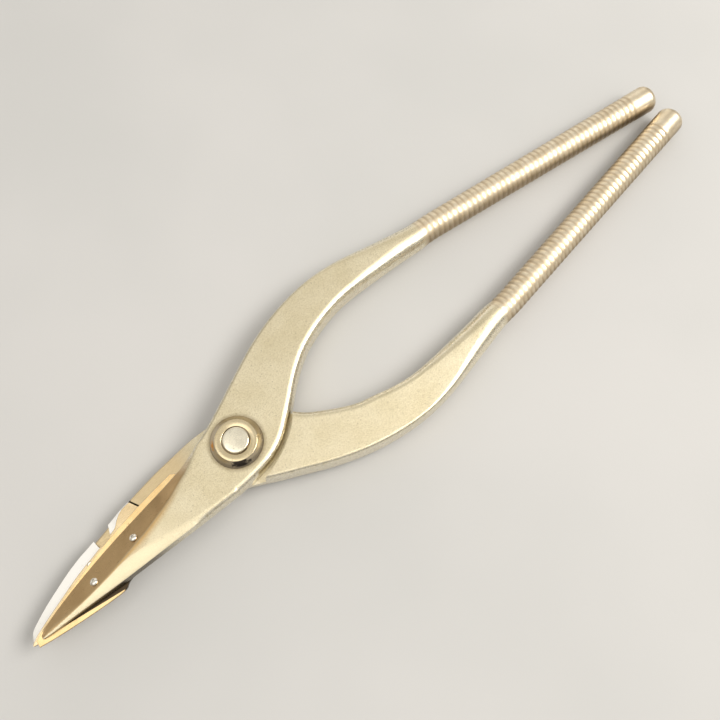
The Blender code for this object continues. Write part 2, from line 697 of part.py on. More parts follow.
# ---------------------------------------------------------------- pivot
COLLAR_BORE_R = PIN_R + 0.06
COLLAR_R = 7.8
COLLAR_TOP_R = 6.1
COLLAR_BASE_Z = 4.58
COLLAR_TOP_Z = 7.0
COLLAR_CHAMFER = 0.25           # at the foot of the rim
# turned collar: short rim, straight flank, flat annulus, narrow groove at the pin
COLLAR_PROFILE = [
    (COLLAR_BORE_R, COLLAR_BASE_Z),
    (COLLAR_R - COLLAR_CHAMFER, COLLAR_BASE_Z),
    (COLLAR_R, COLLAR_BASE_Z + COLLAR_CHAMFER),
    (COLLAR_R, COLLAR_BASE_Z + 0.40),
    (COLLAR_TOP_R + 0.15, COLLAR_TOP_Z - 0.14),
    (COLLAR_TOP_R, COLLAR_TOP_Z),
    (PIN_R + 0.42, COLLAR_TOP_Z),
    (PIN_R + 0.34, COLLAR_TOP_Z - 0.12),
    (PIN_R + 0.32, COLLAR_TOP_Z - 0.7),
    (COLLAR_BORE_R, COLLAR_TOP_Z - 0.74),
]


def build_pin():
    upper_half = []
    for degrees in (0, 30, 60, 90):
        angle = math.radians(degrees)
        upper_half.append((PIN_R - PIN_EDGE_R * (1 - math.cos(angle)),
                           PIN_END_Z - PIN_EDGE_R + PIN_EDGE_R * math.sin(angle)))
    upper_half.append((0, PIN_END_Z))
    lower_half = [(radius, -z) for radius, z in reversed(upper_half)]
    revolve("pivot_pin", lower_half + upper_half, POLISH)


def build_collar(name, sign):
    revolve(name, [(radius, sign * z) for radius, z in COLLAR_PROFILE], POLISH, closed_loop=True)


def hang_on_hinge(parts):
    """Parent the parts that turn on the pin to an empty on the joint axis."""
    hinge = bpy.data.objects.new("pivot_axis", None)
    hinge.location.z = LAP_Z * MM
    bpy.context.scene.collection.objects.link(hinge)
    for part in parts:
        part.location.z = 0.0
        part.parent = hinge


# ---------------------------------------------------------------- build
for old in list(bpy.data.objects):
    bpy.data.objects.remove(old, do_unlink=True)

SATIN = metal("satin_nickel", color=(0.72, 0.66, 0.54), roughness=0.42)
PLATE = metal("blade_steel", color=(0.78, 0.68, 0.48), roughness=0.25)
POLISH = metal("polished_nickel", color=(0.80, 0.74, 0.62), roughness=0.18)

upper_lap = prism_cutter("cutter_lap_upper", shoulder_outline(UPPER), -CUT_REACH, LAP_GAP)
lower_lap = prism_cutter("cutter_lap_lower", shoulder_outline(LOWER), -LAP_GAP, CUT_REACH)
bore = bore_cutter()

upper_arm = build_arm("upper_arm", UPPER, UPPER_LAP_RIBS, UPPER_JAW)
for cutter in (upper_lap, bore):
    cut(upper_arm, cutter)
lower_arm = build_arm("lower_arm", LOWER, LOWER_LAP_RIBS, LOWER_JAW)
for cutter in (lower_lap, ramp_cutter(), pocket_cutter(), bore):
    cut(lower_arm, cutter)

upper_plate = build_upper_plate()
lower_plate = build_lower_plate()
upper_rivets = [add_upper_rivet(name, x, y, (upper_arm, upper_plate))
                for name, (x, y) in UPPER_RIVETS.items()]
for name, (x, y) in LOWER_RIVETS.items():
    add_lower_rivet(name, x, y, (lower_arm, lower_plate))

build_pin()
build_collar("upper_pivot_collar", 1)
build_collar("lower_pivot_collar", -1)
hang_on_hinge([upper_arm, upper_plate] + upper_rivets)
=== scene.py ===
"""Lap-jointed hand pliers: two forged arms, jaw plates, rivets and a collared pivot pin.

The pin's axis is z through the origin.  The jaws point to +x and the grips to -x.
The upper arm lies above the lap plane with its grip at -y; the lower arm's grip is at +y.
Shapes are given in mm with the lap plane at z = 0, then lifted by LAP_Z.
Materials work in object space, in metres.
"""

import math

import bpy
import bmesh
import numpy as np
from mathutils import Matrix, Vector


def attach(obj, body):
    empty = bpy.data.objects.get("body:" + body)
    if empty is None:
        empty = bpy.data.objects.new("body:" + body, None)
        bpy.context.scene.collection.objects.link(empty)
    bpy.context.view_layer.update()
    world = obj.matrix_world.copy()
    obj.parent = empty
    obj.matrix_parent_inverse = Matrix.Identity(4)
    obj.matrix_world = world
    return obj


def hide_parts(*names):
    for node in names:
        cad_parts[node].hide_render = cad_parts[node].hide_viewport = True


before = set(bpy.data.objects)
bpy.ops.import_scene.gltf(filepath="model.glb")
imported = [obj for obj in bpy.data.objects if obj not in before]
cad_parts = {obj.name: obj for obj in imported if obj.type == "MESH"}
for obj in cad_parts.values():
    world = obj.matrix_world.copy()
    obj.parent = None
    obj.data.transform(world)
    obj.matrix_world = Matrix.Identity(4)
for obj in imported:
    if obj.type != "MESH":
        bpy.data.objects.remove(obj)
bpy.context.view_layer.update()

MM = 0.001
LAP_Z = 7.7           # height of the lap plane above the frame's origin
UPPER, LOWER = -1, 1  # which side of y an arm's grip is on

# ---------------------------------------------------------------- dimensions (mm)
HALF_T = 4.5          # half the thickness of the forgings
LAP_GAP = 0.1
SKIN = 0.04           # the arms' sides stay this far inside the nominal outline
R_OUTER = 1.2         # rolled edges of the arms
R_INNER = 2.3

HANDLE_MID_Y = 1.7
GRIP_START = 89.0     # grip distances run from the pin towards -x
GRIP_END = 188.36
GRIP_R0 = 4.36        # radius at GRIP_START, and its growth per mm
GRIP_TAPER = 0.0042
GRIP_D0 = 18.69       # axis offset from HANDLE_MID_Y at GRIP_START
GRIP_SLOPE = 0.132
GRIP_BOW = 0.0065     # the axis bows inwards before GRIP_BOW_END
GRIP_BOW_END = 95.5
END_ROUND = 2.6
RING_PITCH = 2.0
RING_COUNT = 45
RING_DEPTH = 0.16
GRIP_TILT = math.atan(GRIP_SLOPE)

PIN_R = 3.82
PIN_FIT = 0.08
PIN_END_Z = 7.68
COLLAR_R = 7.78
COLLAR_TOP_R = 6.1
COLLAR_BASE_Z = 4.58
COLLAR_TOP_Z = 6.98
COLLAR_FIT = 0.06

UPPER_PLATE_TOP = 0.05
UPPER_PLATE_BOTTOM = -1.10
UPPER_PLATE_REAR_R = 19.0
UPPER_PLATE_EDGE_R = 0.16
LOWER_PLATE_TOP = -1.27
LOWER_PLATE_BOTTOM = -2.30
LOWER_SEAT = -2.36    # floor of the pocket under the lower plate
BOSS_R = 9.0          # flat round the pin; the lower arm ramps down outside it
RAMP_R = 18.5
RAMP_Z = -1.25
SLIT_A = (34.0, -9.0)  # butt joint behind the lower plate
SLIT_B = (26.5, 7.0)
SLIT_GAP = 0.5
SLIT_OVERRUN = 10

RIVET_R = 0.75
RIVET_HEAD_R = 1.2
RIVET_HEAD_H = 0.75
RIVET_FIT = 0.06
UPPER_RIVETS = {"upper_plate_rivet_front": (53.4, 4.6), "upper_plate_rivet_rear": (38.4, 2.1)}
LOWER_RIVETS = {"lower_plate_rivet_front": (52.3, -0.95), "lower_plate_rivet_rear": (40.0, 0.5)}

CORNER_N = 14         # points per corner of an arm's section
SECTION_N = 4 * CORNER_N
SPAN_N = 10           # stations per span along an arm
TIP_SPAN_N = 5
CUTTER_REACH = 20     # cutters run this far past the lap plane

# ---------------------------------------------------------------- outlines (mm)
# outer distance and offset, inner distance and offset, extra inner offset on the lower arm
HANDLE_RIBS = [
    (86.0, 23.1, 85.0, 14.1, 0.0), (78.0, 24.6, 77.4, 14.8, 0.0),
    (70.0, 26.1, 69.6, 15.4, 0.0), (61.0, 27.7, 61.0, 16.0, 0.0),
    (52.5, 28.4, 53.5, 16.1, 0.0), (44.5, 28.2, 47.0, 15.2, 0.0),
    (36.5, 27.1, 40.5, 13.5, 0.0), (29.0, 25.3, 34.5, 11.2, 0.6),
    (22.0, 22.9, 29.2, 8.1, 1.1), (15.5, 20.1, 24.6, 4.7, 1.7),
]
# outer x, y, inner x, y across the lap
UPPER_LAP_RIBS = [
    (-9.3, -15.5, -20.4, 0.6), (-3.4, -12.7, -15.8, 4.3), (1.8, -10.3, -10.6, 8.0),
    (6.2, -8.5, -4.6, 10.4), (9.8, -7.2, 1.6, 11.4), (13.2, -6.0, 8.0, 11.8),
    (16.6, -5.1, 14.2, 11.6),
]
LOWER_LAP_RIBS = [
    (-9.3, 18.7, -20.8, 5.4), (-3.6, 15.9, -17.3, 1.6), (1.6, 13.1, -12.6, -3.9),
    (6.0, 10.9, -7.2, -7.9), (10.0, 9.2, -1.0, -10.1), (14.0, 7.8, 5.8, -10.9),
    (18.0, 6.9, 12.4, -11.0),
]
# x, low y edge, high y edge of the jaws
UPPER_JAW = [
    (20.0, -4.8, 11.3), (26.0, -4.1, 10.9), (34.0, -3.0, 10.5), (42.0, -1.8, 10.1),
    (50.0, -0.3, 9.6), (58.0, 1.5, 8.9), (65.0, 3.3, 8.3), (70.0, 5.0, 7.9), (72.2, 6.2, 7.6),
]
LOWER_JAW = [
    (22.0, -10.3, 6.4), (28.0, -9.5, 6.2), (33.0, -8.7, 6.2), (38.0, -7.8, 6.3),
    (44.0, -6.3, 6.6), (50.0, -4.9, 7.0), (58.0, -2.8, 7.3), (65.0, -0.1, 7.4),
    (71.0, 2.6, 7.3), (74.4, 5.0, 7.0),
]
# x and value along the upper jaw: top z, high-y edge radius, crown and facet widths, facet foot z
UPPER_TOP = [(0, 4.5), (20, 4.5), (30, 4.4), (40, 4.1), (50, 3.6), (60, 2.65), (70, 1.35),
             (73, 0.95)]
UPPER_EDGE_R = [(11, 1.9), (40, 2.2), (50, 1.9), (58, 1.3), (65, 0.7), (73, 0.3)]
CROWN_W = [(14, 1.9), (22, 2.4), (30, 3.2), (38, 4.0), (44, 4.1), (50, 3.1), (58, 1.75),
           (65, 0.95), (70, 0.5), (73, 0.25)]
CROWN_SLOPE = 0.16    # fall of the crown over its width
FACET_W = [(4, 0.4), (9, 1.1), (14, 1.9), (19, 2.9), (24.5, 4.6), (30, 5.6), (36, 6.4),
           (44, 6.4), (50, 6.2), (58, 5.2), (65, 3.6), (70, 1.9), (73, 0.6)]
FACET_Z = [(4, 4.1), (9, 3.7), (14, 3.1), (19, 2.1), (24.5, 0.85), (30, 0.6), (73, 0.5)]
# x and z of the lower jaw's underside
LOWER_FOOT = [(0, -4.5), (20, -4.5), (35, -4.25), (50, -3.85), (65, -3.4), (75, -3.1)]
# x, y of the lower arm's lap shoulder; the upper arm's is its mirror about half SHOULDER_SUM_Y
SHOULDER = [(-19.8, -12.0), (-19.3, -3.0), (-18.8, 1.0), (-17.9, 3.5), (-15.4, 6.3),
            (-11.5, 9.0), (-7.2, 11.2), (-2.6, 12.8), (0.9, 13.7), (5.0, 15.2)]
SHOULDER_FAR = [(10.0, 40.0), (95.0, 40.0), (95.0, -40.0), (-19.8, -40.0)]
SHOULDER_SUM_Y = 0.5
# x, y along the upper plate: its low y edge forwards, its high y edge back, its rear arc's ends
UPPER_PLATE_LOW = [(20.3, -6.6), (27.0, -5.8), (36.0, -4.5), (44.0, -3.0), (51.0, -1.2),
                   (58.0, 0.8), (64.0, 2.5), (70.0, 4.6), (74.3, 6.4)]
UPPER_PLATE_HIGH = [(74.5, 8.4), (69.0, 9.4), (60.0, 10.6), (53.0, 11.3), (48.6, 11.4),
                    (46.4, 10.3), (42.0, 9.4), (36.0, 9.2), (28.0, 9.0), (19.5, 8.6)]
UPPER_PLATE_ARC = [(17.2, 8.2), (18.33, -5.0)]
# x, low y edge, bevel width, z of the bevel's foot, high y edge
LOWER_PLATE = [
    (26.0, -8.9, 0.35, -1.55, 6.5), (34.0, -8.4, 0.35, -1.55, 6.6),
    (37.6, -7.9, 0.4, -1.55, 6.7), (39.6, -7.5, 1.2, -1.75, 6.8),
    (41.4, -7.1, 2.4, -1.95, 6.85), (43.6, -6.7, 2.7, -2.0, 6.9),
    (47.5, -5.9, 2.9, -2.1, 7.1), (50.5, -5.3, 3.1, -2.1, 7.2),
    (54.0, -4.6, 3.2, -2.1, 7.3), (58.0, -3.5, 3.2, -2.1, 7.4),
    (62.5, -1.9, 3.1, -2.1, 7.5), (67.0, -0.2, 2.9, -2.1, 7.5),
    (71.0, 1.6, 2.5, -2.1, 7.4), (74.2, 3.4, 1.9, -2.1, 7.2),
    (75.98, 6.0, 0.5, -2.1, 6.9),
]


# ---------------------------------------------------------------- curves
def spline(points, per_span):
    """Catmull-Rom through the points; per_span is a count, or one count per span."""
    c = np.array(points, float)
    c = np.vstack([2 * c[0] - c[1], c, 2 * c[-1] - c[-2]])
    rows = []
    for i in range(1, len(c) - 2):
        p0, p1, p2, p3 = c[i - 1], c[i], c[i + 1], c[i + 2]
        count = per_span[i - 1] if isinstance(per_span, list) else per_span
        for j in range(count):
            t = j / count
            rows.append(0.5 * (2 * p1 + (p2 - p0) * t
                               + (2 * p0 - 5 * p1 + 4 * p2 - p3) * t ** 2
                               + (3 * p1 - p0 - 3 * p2 + p3) * t ** 3))
    rows.append(c[-2])
    return np.array(rows)


def lerp_table(table, x):
    """Straight-line value at x from the table's first two columns."""
    rows = np.array(table, float)
    return float(np.interp(x, rows[:, 0], rows[:, 1]))


def table_curve(table, x):
    """Smooth curve through a table of (x, value)."""
    xs, ys = np.array(table, float).T
    if x <= xs[0] or x >= xs[-1]:
        return lerp_table(table, x)
    m = np.gradient(ys, xs)
    i = int(np.searchsorted(xs, x) - 1)
    h = xs[i + 1] - xs[i]
    t = (x - xs[i]) / h
    return float((2 * t ** 3 - 3 * t ** 2 + 1) * ys[i] + (t ** 3 - 2 * t ** 2 + t) * h * m[i]
                 + (-2 * t ** 3 + 3 * t ** 2) * ys[i + 1] + (t ** 3 - t ** 2) * h * m[i + 1])


def smooth(t):
    t = min(1.0, max(0.0, t))
    return t * t * (3 - 2 * t)


# ---------------------------------------------------------------- meshes
def add_mesh(name, bm):
    bmesh.ops.recalc_face_normals(bm, faces=bm.faces)
    mesh = bpy.data.meshes.new(name)
    bm.to_mesh(mesh)
    bm.free()
    ob = bpy.data.objects.new(name, mesh)
    bpy.context.scene.collection.objects.link(ob)
    mesh.shade_smooth()
    return ob


def loft(name, rings):
    """Closed skin over equal-length rings of points in mm."""
    bm = bmesh.new()
    rows = [[bm.verts.new((p[0] * MM, p[1] * MM, p[2] * MM)) for p in ring] for ring in rings]
    n = len(rows[0])
    for a, b in zip(rows, rows[1:]):
        for k in range(n):
            bm.faces.new((a[k], a[(k + 1) % n], b[(k + 1) % n], b[k]))
    bm.faces.new(list(reversed(rows[0])))
    bm.faces.new(rows[-1])
    return add_mesh(name, bm)


def prism(name, outline, z0, z1):
    return loft(name, [[(x, y, z) for x, y in outline] for z in (z0, z1)])


def revolve(name, profile, segs=128, closed_loop=False, frame=None):
    """Turns (radius, height) points about z, or about frame = (origin, axis)."""
    origin, axis = frame if frame else (Vector((0, 0, 0)), Vector((0, 0, 1)))
    axis = axis.normalized()
    u = axis.orthogonal() if frame else Vector((1, 0, 0))
    u.normalize()
    v = axis.cross(u)
    bm = bmesh.new()
    rows = []
    for r, h in profile:
        if r < 1e-6:
            rows.append([bm.verts.new((origin + axis * h) * MM)])
        else:
            angles = [2 * math.pi * k / segs for k in range(segs)]
            rows.append([bm.verts.new(
                (origin + axis * h + (u * math.cos(a) + v * math.sin(a)) * r) * MM)
                for a in angles])
    pairs = list(zip(rows, rows[1:]))
    if closed_loop:
        pairs.append((rows[-1], rows[0]))
    for a, b in pairs:
        for k in range(segs):
            k2 = (k + 1) % segs
            if len(a) == 1:
                bm.faces.new((a[0], b[k2], b[k]))
            elif len(b) == 1:
                bm.faces.new((a[k], a[k2], b[0]))
            else:
                bm.faces.new((a[k], a[k2], b[k2], b[k]))
    return add_mesh(name, bm)


cutters = []


def as_cutter(ob):
    ob.hide_render = True
    cutters.append(ob)
    return ob


def rod_cutter(name, radius, z0, z1, segs, frame=None):
    return as_cutter(revolve(name, [(0, z0), (radius, z0), (radius, z1), (0, z1)], segs,
                             frame=frame))


def cut(ob, *tools):
    for tool in tools:
        mod = ob.modifiers.new("cut_" + tool.name, 'BOOLEAN')
        mod.operation = 'DIFFERENCE'
        mod.object = tool
        mod.solver = 'EXACT'


def bake(ob):
    """Applies the object's modifiers."""
    graph = bpy.context.evaluated_depsgraph_get()
    mesh = bpy.data.meshes.new_from_object(ob.evaluated_get(graph))
    ob.modifiers.clear()
    ob.data = mesh


def settle(ob, weighted):
    """Applies the cuts and sets the shading: flats stay flat."""
    bake(ob)
    ob.data.shade_smooth()
    ob.data.set_sharp_from_angle(angle=math.radians(34.0))
    if weighted:
        mod = ob.modifiers.new("weighted", 'WEIGHTED_NORMAL')
        mod.mode = 'FACE_AREA'
        mod.weight = 60
        mod.keep_sharp = True
        bake(ob)


# ---------------------------------------------------------------- arm section
def facet_curve(half_w, used, top, width, edge_z, softness):
    """Section points (u, z) from the top flat over a blended ridge and down the facet.

    used is the width that the opposite edge takes; edge_z is the height of the facet's foot.
    """
    room = 2 * half_w - used - 0.05
    w = min(width, room - 0.1)
    blend_w = min(1.5, 0.45 * w + 0.25) * softness
    drop = edge_z - top
    start = (-half_w + min(w + blend_w, room), top)
    ridge = (-half_w + w, top + 0.02 * drop)
    foot = (-half_w + 0.12, top + drop * 0.97)
    side = (-half_w, top + drop * 1.06)
    # the ridge is a soft quadratic blend between the flat and the facet
    du, dz = foot[0] - ridge[0], foot[1] - ridge[1]
    length = math.hypot(du, dz) or 1.0
    reach = min(0.9, 0.35 * blend_w + 0.2) * min(1.0, w / 2.0)
    reach = min(reach, length * 0.5)
    end = (ridge[0] + du / length * reach, ridge[1] + dz / length * reach)
    pts = []
    blend_n = 6
    for i in range(blend_n):
        t = i / (blend_n - 1)
        pts.append(tuple((1 - t) ** 2 * start[c] + 2 * t * (1 - t) * ridge[c] + t * t * end[c]
                         for c in (0, 1)))
    slope_n = CORNER_N - blend_n - 2
    for i in range(1, slope_n + 1):
        t = i / (slope_n + 0.6)
        pts.append((end[0] + (foot[0] - end[0]) * t, end[1] + (foot[1] - end[1]) * t))
    return pts + [foot, side]


def crown_point(j, half_w, top, width):
    """Point j of the crowned top, from the high y side inwards."""
    fall = CROWN_SLOPE * width
    if j == 0:
        return half_w, top - fall - 0.10
    if j == 1:
        return half_w - 0.02, top - fall - 0.03
    t = 1 - (j - 2) / (CORNER_N - 3)
    return half_w - 0.07 - (width - 0.07) * (1 - t), top - fall * t ** 1.8


def arm_ring(low, high, top_low, top_high, bottom, r_low, r_high, full_round=0.0,
             facet=0.0, facet_w=0.0, facet_z=0.0, draft=0.0, crown=0.0, crown_w=0.0):
    """Rounded section between the low y and high y edge points.

    full_round, facet and crown run from 0 to 1 and blend those forms in.
    """
    low, high = np.array(low, float), np.array(high, float)
    mid = (low + high) / 2
    half_w = np.linalg.norm(high - low) / 2 - SKIN
    across = (high - low) / np.linalg.norm(high - low)
    if facet > 0:
        used = r_high + (crown_w - r_high) * crown
        facet_pts = facet_curve(half_w, used, top_low, facet_w, facet_z, 1.0 + 0.5 * crown)
    pts = []
    for k in range(SECTION_N):
        corner, j = k // CORNER_N, k % CORNER_N
        even = 90.0 * (j + 0.5) / CORNER_N
        tangent = 90.0 * j / (CORNER_N - 1)
        phi = math.radians(90 * corner + tangent + (even - tangent) * full_round)
        c, s = math.cos(phi), math.sin(phi)
        if corner == 0:
            u, z = half_w - r_high + r_high * c, top_high - r_high + r_high * s
            if crown > 0:
                crown_u, crown_z = crown_point(j, half_w, top_high, crown_w)
                u, z = u + (crown_u - u) * crown, z + (crown_z - z) * crown
        elif corner == 1:
            u, z = -half_w + r_low + r_low * c, top_low - r_low + r_low * s
            if facet > 0:
                u += (facet_pts[j][0] - u) * facet
                z += (facet_pts[j][1] - z) * facet
        elif corner == 2:
            u, z = -half_w + r_low + r_low * c, bottom + r_low + r_low * s
        else:
            u, z = half_w - r_high + r_high * c + draft, bottom + r_high + r_high * s
        x, y = mid + across * u
        pts.append((x, y, z))
    return pts


# ---------------------------------------------------------------- arms
def grip_axis(dist):
    bow = GRIP_BOW * max(0.0, GRIP_BOW_END - dist) ** 2
    return GRIP_D0 - GRIP_SLOPE * (dist - GRIP_START) - bow


def grip_radius(dist):
    return GRIP_R0 + GRIP_TAPER * (dist - GRIP_START)


def grip_rings(side):
    """Rings of the grip: a rounded free end, a plain run, then the rolled ridges."""
    end_r = grip_radius(GRIP_END)
    rows = []
    for k in range(13):
        a = math.radians(90.0 * k / 12)
        rows.append((GRIP_END - END_ROUND * (1 - math.cos(a)),
                     end_r - END_ROUND * (1 - math.sin(a))))
    last = GRIP_START + RING_PITCH * RING_COUNT
    for k in range(1, 8):
        d = GRIP_END - END_ROUND + (last + 0.05 - (GRIP_END - END_ROUND)) * k / 7
        rows.append((d, grip_radius(d)))
    for i in range(RING_COUNT):
        # the grooves differ a little in depth
        depth = RING_DEPTH * (1 + 0.12 * math.sin(1.7 * i + side))
        for k in range(12):
            d = last - RING_PITCH * (i + k / 12)
            rows.append((d, grip_radius(d) - 0.5 * depth * (1 - math.cos(2 * math.pi * k / 12))))
    rows.append((GRIP_START, grip_radius(GRIP_START)))
    rings = []
    for dist, r in rows:
        center = np.array((-dist, HANDLE_MID_Y + side * grip_axis(dist)))
        inward = np.array((math.sin(GRIP_TILT), -side * math.cos(GRIP_TILT)))
        outer, inner = center - inward * r, center + inward * r
        low, high = (outer, inner) if side == UPPER else (inner, outer)
        rs = r - SKIN
        rings.append(arm_ring(low, high, rs, rs, -rs, rs, rs, full_round=1.0))
    return rings


def handle_rows(side):
    """Outer and inner edge points of the handle, from the grip forwards."""
    d = GRIP_START - 0.4
    y, r = grip_axis(d), grip_radius(d)
    ax, ay = r * math.sin(GRIP_TILT), r * math.cos(GRIP_TILT)
    rows = [(-d - ax, HANDLE_MID_Y + side * (y + ay), -d + ax, HANDLE_MID_Y + side * (y - ay))]
    for outer_d, outer_y, inner_d, inner_y, lower_extra in HANDLE_RIBS:
        if side == LOWER:
            inner_y += lower_extra
        rows.append((-outer_d, HANDLE_MID_Y + side * outer_y,
                     -inner_d, HANDLE_MID_Y + side * inner_y))
    return rows


def upper_ring(outer, inner, x, half_t, r_outer, r_inner, full_round):
    facet = dict(facet=smooth((x - 1.0) / 5.0), facet_w=table_curve(FACET_W, x),
                 facet_z=table_curve(FACET_Z, x))
    if x < 11:
        return arm_ring(outer, inner, half_t, half_t, -half_t, r_outer, r_inner,
                        full_round=full_round, **facet)
    top = table_curve(UPPER_TOP, x)
    draft = 0.35 * smooth((x - 12) / 15) * min(1.0, (74 - x) / 20)
    return arm_ring(outer, inner, top, top, -1.5, 0.4, table_curve(UPPER_EDGE_R, x),
                    draft=draft, crown=smooth((x - 14) / 12), crown_w=table_curve(CROWN_W, x),
                    **facet)


def ramp_z(r):
    t = min(1.0, max(0.0, (r - BOSS_R) / (RAMP_R - BOSS_R)))
    return -LAP_GAP + (RAMP_Z + LAP_GAP) * t


def lower_ring(outer, inner, x, half_t, r_outer, r_inner, full_round):
    if x < -4:
        return arm_ring(inner, outer, half_t, half_t, -half_t, r_inner, r_outer,
                        full_round=full_round)
    # the top sinks to the ramp, then to the plate's seat; the cuts trim it later
    edge_r = math.hypot(inner[0], inner[1] + 1.6)
    top_low = ramp_z(edge_r) + 0.25 if x < 40 else LOWER_SEAT + 0.03
    t = smooth((x + 4) / 5)
    top_low = HALF_T * (1 - t) + top_low * t
    top_high = HALF_T * (1 - t) + 0.15 * t if x < 19 else top_low
    bottom = table_curve(LOWER_FOOT, x)
    r_low = R_INNER * (1 - t) + 1.3 * t if x < 40 else 0.9
    r_high = R_OUTER
    if x > 19:
        r_low = min(r_low, (top_low - bottom) * 0.45)
        r_high = min(R_OUTER, (top_high - bottom) * 0.4)
    return arm_ring(inner, outer, top_low, top_high, bottom, r_low, r_high)


def blunt_tip(rings):
    """Adds three shrinking rings that round off the jaw's tip."""
    last = np.array(rings[-1])
    center = last.mean(axis=0)
    ahead = center - np.array(rings[-2]).mean(axis=0)
    ahead[2] = 0
    ahead /= np.linalg.norm(ahead)
    for scale, step in ((0.93, 0.14), (0.82, 0.25), (0.66, 0.33)):
        rings.append([tuple(p) for p in center + (last - center) * scale + ahead * step])
    return rings


def arm(name, side, lap, jaw):
    ctrl = handle_rows(side) + list(lap)
    for x, low, high in jaw:
        ctrl.append((x, low, x, high) if side == UPPER else (x, high, x, low))
    ring_at = upper_ring if side == UPPER else lower_ring
    rings = grip_rings(side)
    for row in spline(ctrl, [SPAN_N] * (len(ctrl) - 2) + [TIP_SPAN_N]):
        outer, inner = row[:2], row[2:]
        x = (outer[0] + inner[0]) / 2
        # the handle turns from a flat bar to a round one towards the grip
        full_round = smooth((-x - 47.0) / 36.0)
        half_w = np.linalg.norm(outer - inner) / 2 - SKIN
        half_t = HALF_T + (min(half_w, 4.6) - HALF_T) * full_round
        r_outer, r_inner = (r + (min(half_w, half_t) - r) * full_round
                            for r in (R_OUTER, R_INNER))
        rings.append(ring_at(outer, inner, x, half_t, r_outer, r_inner, full_round))
    return loft(name, blunt_tip(rings))


def shoulder(side):
    line = [(p[0], p[1]) for p in spline(SHOULDER, 8)] + SHOULDER_FAR
    if side == UPPER:
        line = [(x, SHOULDER_SUM_Y - y) for x, y in line][::-1]
    return line


def ramp_cutter():
    """Removes the ramp outside the boss, on the jaw side only."""
    far, top = 90.0, 3.0
    ramp = as_cutter(revolve("cutter_ramp", [
        (BOSS_R, top), (BOSS_R, -LAP_GAP - 0.001), (RAMP_R, RAMP_Z), (far, RAMP_Z), (far, top)],
        160, closed_loop=True))
    cut(ramp, as_cutter(prism("cutter_ramp_side", [
        (-95, -95), (-4.0, -95), (2.0, 0), (2.0, 95), (-95, 95)], -30, 30)))
    return ramp


lap_cut_upper = as_cutter(prism("cutter_lap_upper", shoulder(UPPER), -CUTTER_REACH, LAP_GAP))
lap_cut_lower = as_cutter(prism("cutter_lap_lower", shoulder(LOWER), -LAP_GAP, CUTTER_REACH))
ramp_cut = ramp_cutter()
bore_cut = rod_cutter("cutter_bore", PIN_R + PIN_FIT, -CUTTER_REACH, CUTTER_REACH, 96)

slit_dir = np.array(SLIT_B) - np.array(SLIT_A)
slit_dir = slit_dir / np.linalg.norm(slit_dir)
slit_normal = np.array((slit_dir[1], -slit_dir[0]))    # towards the tip
slit_low = np.array(SLIT_A) - slit_dir * SLIT_OVERRUN
slit_high = np.array(SLIT_B) + slit_dir * SLIT_OVERRUN
pocket_cut = as_cutter(prism("cutter_pocket", [
    tuple(slit_low), (90, slit_low[1]), (90, slit_high[1]), tuple(slit_high)], LOWER_SEAT, 3.0))

upper_arm = arm("upper_arm_forging", UPPER, UPPER_LAP_RIBS, UPPER_JAW)
cut(upper_arm, lap_cut_upper, bore_cut)
lower_arm = arm("lower_arm_forging", LOWER, LOWER_LAP_RIBS, LOWER_JAW)
cut(lower_arm, lap_cut_lower, ramp_cut, pocket_cut, bore_cut)


# ---------------------------------------------------------------- jaw plates
def upper_plate_outline():
    """Clockwise outline with a rear arc about the pin."""
    pts = [tuple(p) for edge in (UPPER_PLATE_LOW, UPPER_PLATE_HIGH) for p in spline(edge, 8)]
    a0, a1 = (math.atan2(y, x) for x, y in UPPER_PLATE_ARC)
    for k in range(17):
        a = a0 + (a1 - a0) * k / 16
        pts.append((UPPER_PLATE_REAR_R * math.cos(a), UPPER_PLATE_REAR_R * math.sin(a)))
    return pts[::-1]


def rounded_plate(name, outline, z0, z1, r):
    """Plate over a clockwise outline, its edges rounded by r."""
    c = np.array(outline, float)
    n = len(c)
    inward = []
    for i in range(n):
        e0, e1 = c[i] - c[i - 1], c[(i + 1) % n] - c[i]
        t = e0 / np.linalg.norm(e0) + e1 / np.linalg.norm(e1)
        t /= np.linalg.norm(t)
        inward.append(np.array((t[1], -t[0])))
    angles = [math.radians(22.5 * k) for k in range(5)]
    levels = [(1 - math.sin(a), z0 + r * (1 - math.cos(a))) for a in angles]
    levels += [(1 - math.cos(a), z1 - r * (1 - math.sin(a))) for a in angles]
    return loft(name, [[(*(c[i] + inward[i] * r * inset), z) for i in range(n)]
                       for inset, z in levels])


def lower_plate_rings():
    """Sections of the lower plate, with a ground bevel along the low y edge."""
    top, bottom = LOWER_PLATE_TOP, LOWER_PLATE_BOTTOM
    rings = []
    for x, low, w, foot_z, high in spline(LOWER_PLATE, 8):
        w = min(w, high - low - 0.3)
        length = math.hypot(w, top - foot_z)
        k = min(0.25, length * 0.25)    # reach of the soft ridge
        cx, cz = w / length, (top - foot_z) / length
        rings.append([
            (x, low, bottom), (x, low, foot_z - 0.05), (x, low + 0.03, foot_z),
            (x, low + w - cx * k, top - cz * k),
            (x, low + w - cx * k * 0.3, top - cz * k * 0.22), (x, low + w + k, top),
            (x, high - 0.12, top), (x, high - 0.035, top - 0.035), (x, high, top - 0.12),
            (x, high, bottom)])
    return rings


def notch_outline():
    """Notch in the low y edge, with one rounded inner corner."""
    pts = [(41.6, -9.0), (43.9, -2.7)]
    for k in range(13):
        a = math.radians(90 - 7.5 * k)
        pts.append((47.0 + 0.9 * math.cos(a), -3.6 + 0.9 * math.sin(a)))
    pts.append((48.5, -9.0))
    return pts[::-1]


